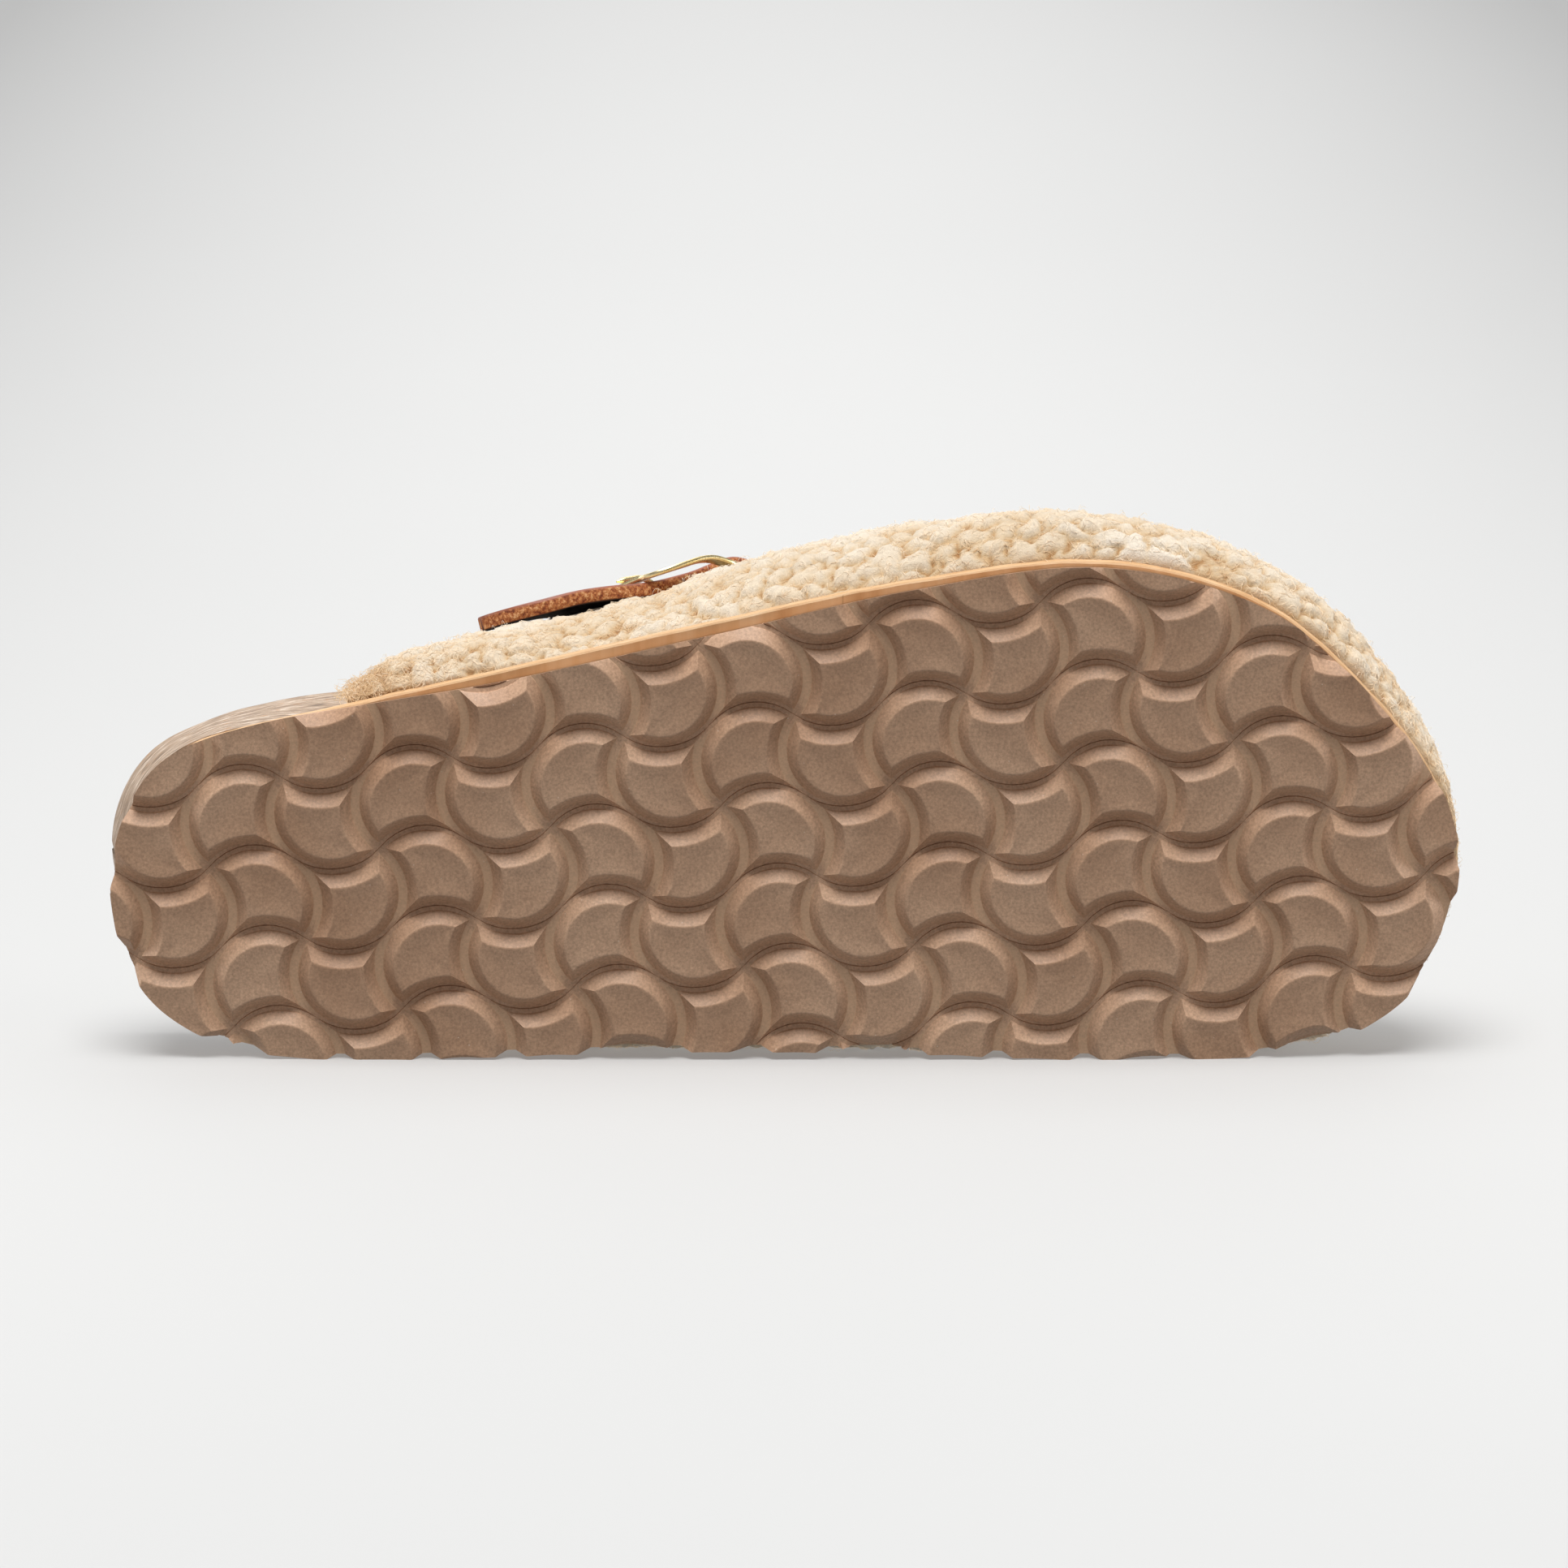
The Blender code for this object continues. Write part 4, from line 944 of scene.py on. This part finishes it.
def makeBuckleFrame():
    places = framePlaces()
    rings = overUpper(strapPlace(places[..., 0], places[..., 1]), places[..., 2])
    grid = np.arange(rings.shape[0] * rings.shape[1]).reshape(rings.shape[:2])
    faces = quadsOf(np.concatenate([grid, grid[:1]]), True).tolist()
    mesh = meshOf("buckle_frame_brass", toRow(rings), faces)
    return addPiece("buckle_frame_brass", mesh, brass, "brass", ["buckle_frame"], sharp=50)


def makePin():
    places = np.arange(len(pinRoute["along"]), dtype=float)
    steps = np.linspace(0, places[-1], pin["steps"])
    at = smoothCurve(places, pinRoute["along"], steps)
    lift = smoothCurve(places, pinRoute["lift"], steps)
    taper = np.minimum(1, pin["tip"] + (steps[-1] - steps) * pin["taper"])
    turns = np.linspace(0, 2 * np.pi, pin["sides"], endpoint=False)
    aside = pin["radius"] * taper[:, None] * np.cos(turns)
    lifts = lift[:, None] + pin["radius"] * taper[:, None] * np.sin(turns)
    rings = overUpper(strapPlace(np.repeat(at[:, None], len(turns), 1), aside), lifts)
    return addLoft("buckle_pin_brass", rings, brass, "brass", ["buckle_pin"], sharp=50)


makeStrap()
makeTab()
makeBuckleFrame()
makePin()


# Fleece: a shell raised into soft nubs, with curled fibres over them
pile = {
    "spacing": 4.3,  # mm between the middles of the nubs
    "tries": 30000,
    "height": 1.25,
    "sink": 0.3,  # crevices go this far below the solid's surface
    "crease": 2.9,  # a nub reaches its full height this far from its border
    "warp": ((1.5, 9.0, 21), (0.5, 4.0, 24)),  # how nubs wander from an even net: reach, size, first seed
    "ruffle": ((0.22, 2.8, 31), (0.16, 1.6, 32)),  # small waves on the nubs: height, size, seed
    "grown": (0.62, 1.15),  # smallest and largest share of a nub's height
    "filled": 0.75,  # share of the room under strap and buckle that pile fills
    "strapGap": 0.2,
    "leastPile": 0.1,
    "strapEdge": 0.7,
    "recover": 3.2,  # pile pressed by the strap stands up again this far beside it
    "tallest": 1.5,  # no pile stands higher than this many heights above the pressed pile
    "footSteps": 60,  # the pile starts at the tan layer and is whole after a sixtieth of a rib
    "footShare": 0.35,
    "rearFade": 12.0,  # thin at the rear corner and round the toe
    "rearSink": 0.6,
    "toeFade": 22.0,
    "toeShare": 0.4,
    "liningTone": 0.5,
    "floorGap": 0.0002,  # metres
}
fibres = {
    "count": 21000,
    "radius": 0.05,
    "segments": 4,
    "sides": 3,
    "pinch": (5.0, 0.25),  # how fast the ends swell, and their share of the radius
    "clear": 3.4,  # distance from strap and buckle
    "long": (1.2, 3.4),
    "bow": (-2.6, 2.6),  # radians from one end to the other
    "mostRise": 1.2,
    "lift": (0.05, 0.3),
    "leastLift": 0.03,
    "shade": (0.9, 1.2),
    "leastTone": 0.3,
    "floorGap": 0.0001,  # metres
}
strays = {
    "count": 2600,
    "radius": 0.04,
    "clear": 4.0,
    "tall": (0.5, 1.3),
    "reach": (0.6, 2.4),
    "bow": 0.85,  # half turns
    "tone": 0.9,
}


def upperGrid():
    rear = float(turnOf(upperShell["rear"])) / np.pi
    laps = np.linspace(rear, 2 - rear, upperShell["ribs"] + 1)
    along = alongOf(np.pi * np.minimum(laps, 2 - laps))
    isOpen = along < upperShell["throat"]
    lines = []
    for line, station, top in zip(ribs(laps), along, isOpen):
        if top:
            line = cutAt(line, float(read(collar, "height", station)))
        lines.append(spaced(line, upperShell["steps"]))
    return np.stack(lines), isOpen


def normalsOf(grid):
    normal = np.cross(np.gradient(grid, axis=0), np.gradient(grid, axis=1))
    size = np.linalg.norm(normal, axis=-1, keepdims=True)
    flat = size[:, -1, 0] < upperShell["noArea"]
    normal[flat, -1] = normal[flat, -2]
    return normal / np.linalg.norm(normal, axis=-1, keepdims=True)


def scatter(points, weights, count, gap):  # places spread evenly by area, none nearer than gap
    order = rng.choice(len(points), size=count, replace=True, p=weights / weights.sum())
    steps = (-1, 0, 1)
    around = [(a, b, c) for a in steps for b in steps for c in steps]
    taken = {}
    kept = []
    for k in order:
        point = points[k]
        cell = tuple((point // gap).astype(int))
        near = (taken.get((cell[0] + a, cell[1] + b, cell[2] + c), ()) for a, b, c in around)
        if all(np.sum((points[other] - point) ** 2) >= gap * gap for group in near for other in group):
            taken.setdefault(cell, []).append(k)
            kept.append(k)
    return np.array(kept)


def treeOf(points):
    tree = KDTree(len(points))
    for k, point in enumerate(points):
        tree.insert(point, k)
    tree.balance()
    return tree


def roomOver(points):  # distance from what strap and buckle cover, and the room under them
    at, aside = np.meshgrid(np.arange(0, len(strapMiddle), 1.0), np.linspace(-1, 1, strap["columns"]))
    half = strap["width"] / 2 * np.sqrt(1 - (1 - np.clip(at / (strap["width"] / 2), 0, 1)) ** 2)
    covered = onUpper(strapPlace(at, aside * half)).reshape(-1, 3)
    under = read(strapLift, "lift", at).ravel()
    bars = framePlaces().reshape(-1, 3)
    covered = np.concatenate([covered, onUpper(strapPlace(bars[:, 0], bars[:, 1]))])
    under = np.concatenate([under, bars[:, 2] - buckle["bar"][1]])
    tree = treeOf(covered)
    found = [tree.find(Vector(point)) for point in points]
    return np.array([hit[2] for hit in found]), under[[hit[1] for hit in found]]


def makeFleeceShell():
    grid, isOpen = upperGrid()
    facing = normalsOf(grid)
    flat = grid.reshape(-1, 3)
    sides = np.linalg.norm(np.cross(np.gradient(grid, axis=0), np.gradient(grid, axis=1)), axis=-1)
    nubs = scatter(flat, sides.ravel(), pile["tries"], pile["spacing"])
    warped = flat
    for reach, size, seed in pile["warp"]:
        warped = warped + reach * np.stack([wobble(flat, size, seed + axis) for axis in range(3)], -1)
    middles = treeOf(warped[nubs])
    found = [middles.find_n(Vector(point), 2) for point in warped]
    border = np.array([second[2] - first[2] for first, second in found])
    owner = np.array([first[1] for first, _ in found])
    grown = rng.uniform(*pile["grown"], len(nubs))
    t = np.clip(border / pile["crease"], 0, 1)
    dome = 1 - (1 - t) ** 2
    ruffle = sum(high * wobble(flat, size, seed) for high, size, seed in pile["ruffle"])
    height = -pile["sink"] + (pile["height"] + pile["sink"]) * dome * grown[owner] + ruffle
    room, under = roomOver(flat)
    pressed = np.clip(pile["filled"] * under - pile["strapGap"], pile["leastPile"], None)
    free = np.clip((room - pile["strapEdge"]) / pile["recover"], 0, pile["tallest"])
    height = np.minimum(height, pressed + pile["height"] * free)
    steps = np.tile(np.linspace(0, 1, grid.shape[1]), grid.shape[0])
    foot = np.clip(steps * pile["footSteps"], 0, 1)
    height *= pile["footShare"] + (1 - pile["footShare"]) * foot
    rear = np.clip((flat[:, 0] - upperShell["rear"]) / pile["rearFade"], 0, 1)
    toe = np.clip((sole["length"] - flat[:, 0]) / pile["toeFade"], 0, 1)
    thin = pile["toeShare"] + (1 - pile["toeShare"]) * toe
    height = height * rear * thin - pile["rearSink"] * (1 - rear)
    outside = (flat + facing.reshape(-1, 3) * height[:, None]).reshape(grid.shape)
    # painted shade: this mark colours the pile darker where it is low, in crevices, at the foot, at the rear
    # and under strap and buckle
    mark = np.clip((height + pile["sink"]) / (pile["height"] + pile["sink"]), 0, 1).reshape(grid.shape[:2])
    return grid, facing, isOpen, outside, mark, room


def closeShell(grid, facing, isOpen, outside, mark):
    count = grid.shape[0] - 1
    every = upperShell["liningEvery"]
    within = (grid - upperShell["wall"] * facing)[:, ::every]
    within[:, 0, 2] = sole["seat"]
    shut = ~isOpen
    for surface in (outside, within):
        surface[shut, -1] = (surface[shut, -1] + surface[::-1][shut, -1]) / 2
    skin = np.arange(outside.shape[0] * outside.shape[1]).reshape(outside.shape[:2])
    inner = skin.size + np.arange(within.shape[0] * within.shape[1]).reshape(within.shape[:2])
    for sheet in (skin, inner):  # both sides share the ridge
        for k in range(count // 2):
            if shut[k]:
                sheet[count - k, -1] = sheet[k, -1]
    faces = [quadsOf(skin), quadsOf(inner)[:, ::-1]]
    faces.append(quadsOf(np.stack([skin[:, 0], inner[:, 0]], 1))[:, ::-1])
    for k in range(count):
        if isOpen[k] or isOpen[k + 1]:
            faces.append(quadsOf(np.stack([skin[k : k + 2, -1], inner[k : k + 2, -1]], 1)))
    corners = [list(dict.fromkeys(quad)) for quad in np.concatenate(faces).tolist()]
    corners = [corner for corner in corners if len(corner) > 2]
    for end in (0, -1):
        for k in range(inner.shape[1] - 1):
            step = skin[end, k * every : (k + 1) * every + 1]
            corners.append(step.tolist() + [inner[end, k + 1], inner[end, k]])
    points = np.concatenate([outside.reshape(-1, 3), within.reshape(-1, 3)])
    marks = np.concatenate([mark.ravel(), np.full(inner.size, pile["liningTone"])])
    return points, corners, marks


grid, facing, isOpen, outside, mark, room = makeFleeceShell()
shellPoints, shellFaces, shellMarks = closeShell(grid, facing, isOpen, outside, mark)
shellRow = toRow(shellPoints)
shellRow[:, 2] = np.maximum(shellRow[:, 2], pile["floorGap"])  # pile is pressed flat on the floor
shellMesh = meshOf("fleece_shell", shellRow, shellFaces)
addPiece("fleece_shell", shellMesh, fleece, "fleece", ["upper"], sharp=None, marks={"pile": shellMarks})


def curlPaths():
    # short wavy fibres that lie along the pile; none near strap and buckle
    skin = outside.reshape(-1, 3)
    count = fibres["count"]
    picked = rng.choice(np.nonzero(room > fibres["clear"])[0], count, replace=True)
    up = facing.reshape(-1, 3)[picked]
    wayA = np.cross(up, rng.normal(size=up.shape))
    wayA /= np.linalg.norm(wayA, axis=1, keepdims=True)
    wayB = np.cross(up, wayA)
    long = rng.uniform(*fibres["long"], (count, 1))
    bow = rng.uniform(*fibres["bow"], (count, 1))
    s = np.linspace(0, 1, fibres["segments"] + 1)
    path = skin[picked][:, None] + wayA[:, None] * (long * s * np.cos(bow * s))[..., None]
    path = path + wayB[:, None] * (long * s * np.sin(bow * s))[..., None]
    tree = treeOf(skin)
    nearest = np.array([tree.find(Vector(point))[1] for point in path.reshape(-1, 3)])
    onSkin = skin[nearest].reshape(path.shape)
    rise = np.sum((onSkin - path) * up[:, None], -1)
    rise = np.clip(rise, -fibres["mostRise"], fibres["mostRise"])
    lift = fibres["leastLift"] + rng.uniform(*fibres["lift"], (count, 1)) * np.sin(np.pi * s)
    path = path + up[:, None] * (rise + lift)[..., None]
    # the fibres take the painted shade of the pile under them, varied at random
    tone = mark.reshape(-1)[nearest].reshape(rise.shape) * rng.uniform(*fibres["shade"], (count, 1))
    return path, np.clip(tone, fibres["leastTone"], 1)


def strayPaths():
    # single loose hairs that stand out of the pile and soften its outline
    picked = rng.choice(np.nonzero(room > strays["clear"])[0], strays["count"], replace=True)
    base = outside.reshape(-1, 3)[picked]
    up = facing.reshape(-1, 3)[picked]
    side = np.cross(up, rng.normal(size=up.shape))
    side /= np.linalg.norm(side, axis=1, keepdims=True)
    tall = rng.uniform(*strays["tall"], (len(picked), 1))
    reach = rng.uniform(*strays["reach"], (len(picked), 1))
    s = np.linspace(0, 1, fibres["segments"] + 1)
    path = base[:, None] + up[:, None] * (tall * np.sin(np.pi * strays["bow"] * s))[..., None]
    path = path + side[:, None] * (reach * s)[..., None]
    return path, np.full(path.shape[:2], strays["tone"])


def tubes(path, radius):
    # tubes with pinched ends, as one mesh
    along = np.gradient(path, axis=1)
    along /= np.linalg.norm(along, axis=-1, keepdims=True) + 1e-9
    aside = np.cross(along, (0.31, 0.77, 0.56))  # any direction that no fibre runs in
    aside /= np.linalg.norm(aside, axis=-1, keepdims=True) + 1e-9
    other = np.cross(along, aside)
    s = np.linspace(0, 1, path.shape[1])
    swell, end = fibres["pinch"]
    thick = radius * np.clip(np.minimum(s, 1 - s) * swell + end, 0, 1)
    turns = np.linspace(0, 2 * np.pi, fibres["sides"], endpoint=False)
    ring = aside[:, :, None] * np.cos(turns)[:, None] + other[:, :, None] * np.sin(turns)[:, None]
    points = path[:, :, None] + ring * thick[:, None, None]
    count, rows, sides = points.shape[:3]
    index = np.arange(count * rows * sides).reshape(count, rows, sides)
    ahead = np.roll(index, -1, 2)
    walls = np.stack([index[:, :-1], ahead[:, :-1], ahead[:, 1:], index[:, 1:]], -1).reshape(-1, 4)
    caps = np.concatenate([index[:, 0, ::-1], index[:, -1]])
    return points.reshape(-1, 3), walls.tolist() + caps.tolist()


def addCurls(name, path, tone, radius):
    points, faces = tubes(path, radius)
    row = toRow(points)
    row[:, 2] = np.maximum(row[:, 2], fibres["floorGap"])
    mesh = meshOf(name, row, faces)
    marks = {"pile": np.repeat(tone.reshape(-1), fibres["sides"])}
    return addPiece(name, mesh, curlFleece, "fleece", sharp=None, marks=marks, mend=False, smooth=False)


curls, tones = curlPaths()
order = np.argsort(curls[:, 0, 0], kind="stable")
for part, chosen in zip(("rear", "middle", "front"), np.array_split(order, 3)):
    addCurls("fleece_curls_" + part, curls[chosen], tones[chosen], fibres["radius"])
hairs, hairTones = strayPaths()
addCurls("fleece_strays", hairs, hairTones, strays["radius"])


# Stage, light and camera
studio = {
    "floor": "#B9B9B8",
    "mottle": "#B6B6B5",
    "glow": 0.2,  # light through the white sheet, which thins the shadows
    "floorHalf": 9.0,
    "corner": 6.6,  # painted shade: how fast the floor darkens towards the far corners
    "world": 0.24,
    "sun": 2.95,
    "sunRise": 71.0,
    "sunAside": 6.0,
    "sunAngle": 38.0,
    "sunPlace": (0, -1, 2),
    "aim": (0, 0, 0.05),  # point that the panels face
    "panels": (  # name, power, place, size, seen by matt surfaces too
        ("topPanel", 3.0, (0.1, 0.35, 1.6), 1.3, True),
        ("toePanel", 5.0, (1.3, 0.1, 0.3), 0.5, True),
        ("heelPanel", 5.0, (-1.3, 0.1, 0.3), 0.5, True),
        ("backPanel", 6.0, (0.0, 1.3, 0.75), 1.2, False),
        ("sheenPanel", 14.0, (0.0, 0.1, 1.7), 1.3, False),
    ),
}
view = {
    "elevation": 9.97,
    "distance": 3.5,
    "picture": 1932,
    "sensor": 36,
    "clip": 50,
    "pixelsPerMillimetre": 6.329,
    "heelPixel": 138,  # column of the sole's heel end
    "floorPixel": 1303,  # row where the sole's edge meets the floor
    "floorPoint": (192.0, 49.9, 1.8),
}


def makeStage():
    half = studio["floorHalf"]
    corners = [(-half, -half, 0), (half, -half, 0), (half, half, 0), (-half, half, 0)]
    floorMesh = meshOf("studioFloor", corners, [(0, 1, 2, 3)])
    floor = bpy.data.objects.new("studioFloor", floorMesh)
    bpy.context.scene.collection.objects.link(floor)
    # White acrylic sheet lit a little from below: even pale grey, faintly mottled, with painted shade that
    # greys the far corners
    paint, tree, shader = newMaterial("litAcrylicSheet", Roughness=0.85, Emission_Strength=studio["glow"])
    shader.inputs["Emission Color"].default_value = toLinear("#FFFFFF")
    place = addNode(tree, "TexCoord", "Object")
    mottle = addNode(tree, "TexNoise", "Fac", {"Vector": place, "Scale": 2.0, "Detail": 2.0})
    tones = (0.2, studio["mottle"]), (0.8, studio["floor"])
    colour = addNode(tree, "ValToRGB", "Color", {"Fac": mottle}, tones)
    aside = addNode(tree, "SeparateXYZ", "X", {"Vector": place})
    ahead = addNode(tree, "SeparateXYZ", "Y", {"Vector": place})
    wide = addNode(tree, "Math", 0, {0: aside, 1: aside}, operation="MULTIPLY")
    far = addNode(tree, "Math", 0, {0: ahead, 1: 0.1}, operation="ADD")
    both = addNode(tree, "Math", 0, {0: wide, 1: far}, operation="MULTIPLY")
    # painted shade: darker towards the far corners
    paintedCornerShade = {"Value": both, "From Max": 0.5 / studio["corner"], "To Max": 0.5}
    dark = addNode(tree, "MapRange", "Result", paintedCornerShade)
    grey = addNode(tree, "Mix", 2, {0: dark, 6: colour, 7: toLinear("#000000")}, data_type="RGBA")
    plug(shader, Base_Color=grey)
    floorMesh.materials.append(paint)
    floor.visible_diffuse = False  # the floor's bounce would flatten the tread's relief
    world = bpy.data.worlds.new("softStudio")
    world.use_nodes = True
    world.node_tree.nodes["Background"].inputs["Color"].default_value = toLinear("#FFFFFF")
    world.node_tree.nodes["Background"].inputs["Strength"].default_value = studio["world"]
    bpy.context.scene.world = world
    sun = bpy.data.lights.new("keySun", "SUN")
    sun.energy = studio["sun"]
    sun.angle = math.radians(studio["sunAngle"])
    rise, aside = math.radians(studio["sunRise"]), math.radians(studio["sunAside"])
    shine = Vector((math.sin(aside) * math.cos(rise), math.cos(aside) * math.cos(rise), -math.sin(rise)))
    hung = [(sun, Vector(studio["sunPlace"]), shine, True)]
    for name, power, place, size, matt in studio["panels"]:
        panel = bpy.data.lights.new(name, "AREA")
        panel.energy = power
        panel.size = size
        hung.append((panel, Vector(place), Vector(studio["aim"]) - Vector(place), matt))
    for light, place, way, matt in hung:
        lamp = bpy.data.objects.new(light.name, light)
        lamp.location = place
        lamp.rotation_mode = "QUATERNION"
        lamp.rotation_quaternion = way.to_track_quat("-Z", "Y")
        lamp.visible_diffuse = matt  # some panels are only mirrored
        bpy.context.scene.collection.objects.link(lamp)


def makeCamera():
    camera = bpy.data.cameras.new("camera")
    eye = bpy.data.objects.new("camera", camera)
    bpy.context.scene.collection.objects.link(eye)
    rise = math.radians(view["elevation"])
    ahead = Vector((0, math.cos(rise), -math.sin(rise)))
    up = Vector((0, math.sin(rise), math.cos(rise)))
    scale = view["pixelsPerMillimetre"] * 1000
    middle = view["picture"] / 2
    aim = Vector(toRow(view["floorPoint"])) + up * ((view["floorPixel"] - middle) / scale)
    aim.x = toRow((0, 0, 0))[0] + (middle - view["heelPixel"]) / scale
    camera.sensor_width = view["sensor"]
    camera.lens = camera.sensor_width * view["distance"] * scale / view["picture"]
    camera.dof.use_dof = False
    camera.clip_end = view["clip"]
    eye.location = aim - ahead * view["distance"]
    eye.rotation_mode = "QUATERNION"
    eye.rotation_quaternion = ahead.to_track_quat("-Z", "Y")
    bpy.context.scene.camera = eye


makeStage()
makeCamera()
bpy.context.scene.view_settings.view_transform = "Standard"
print("stage and camera made")
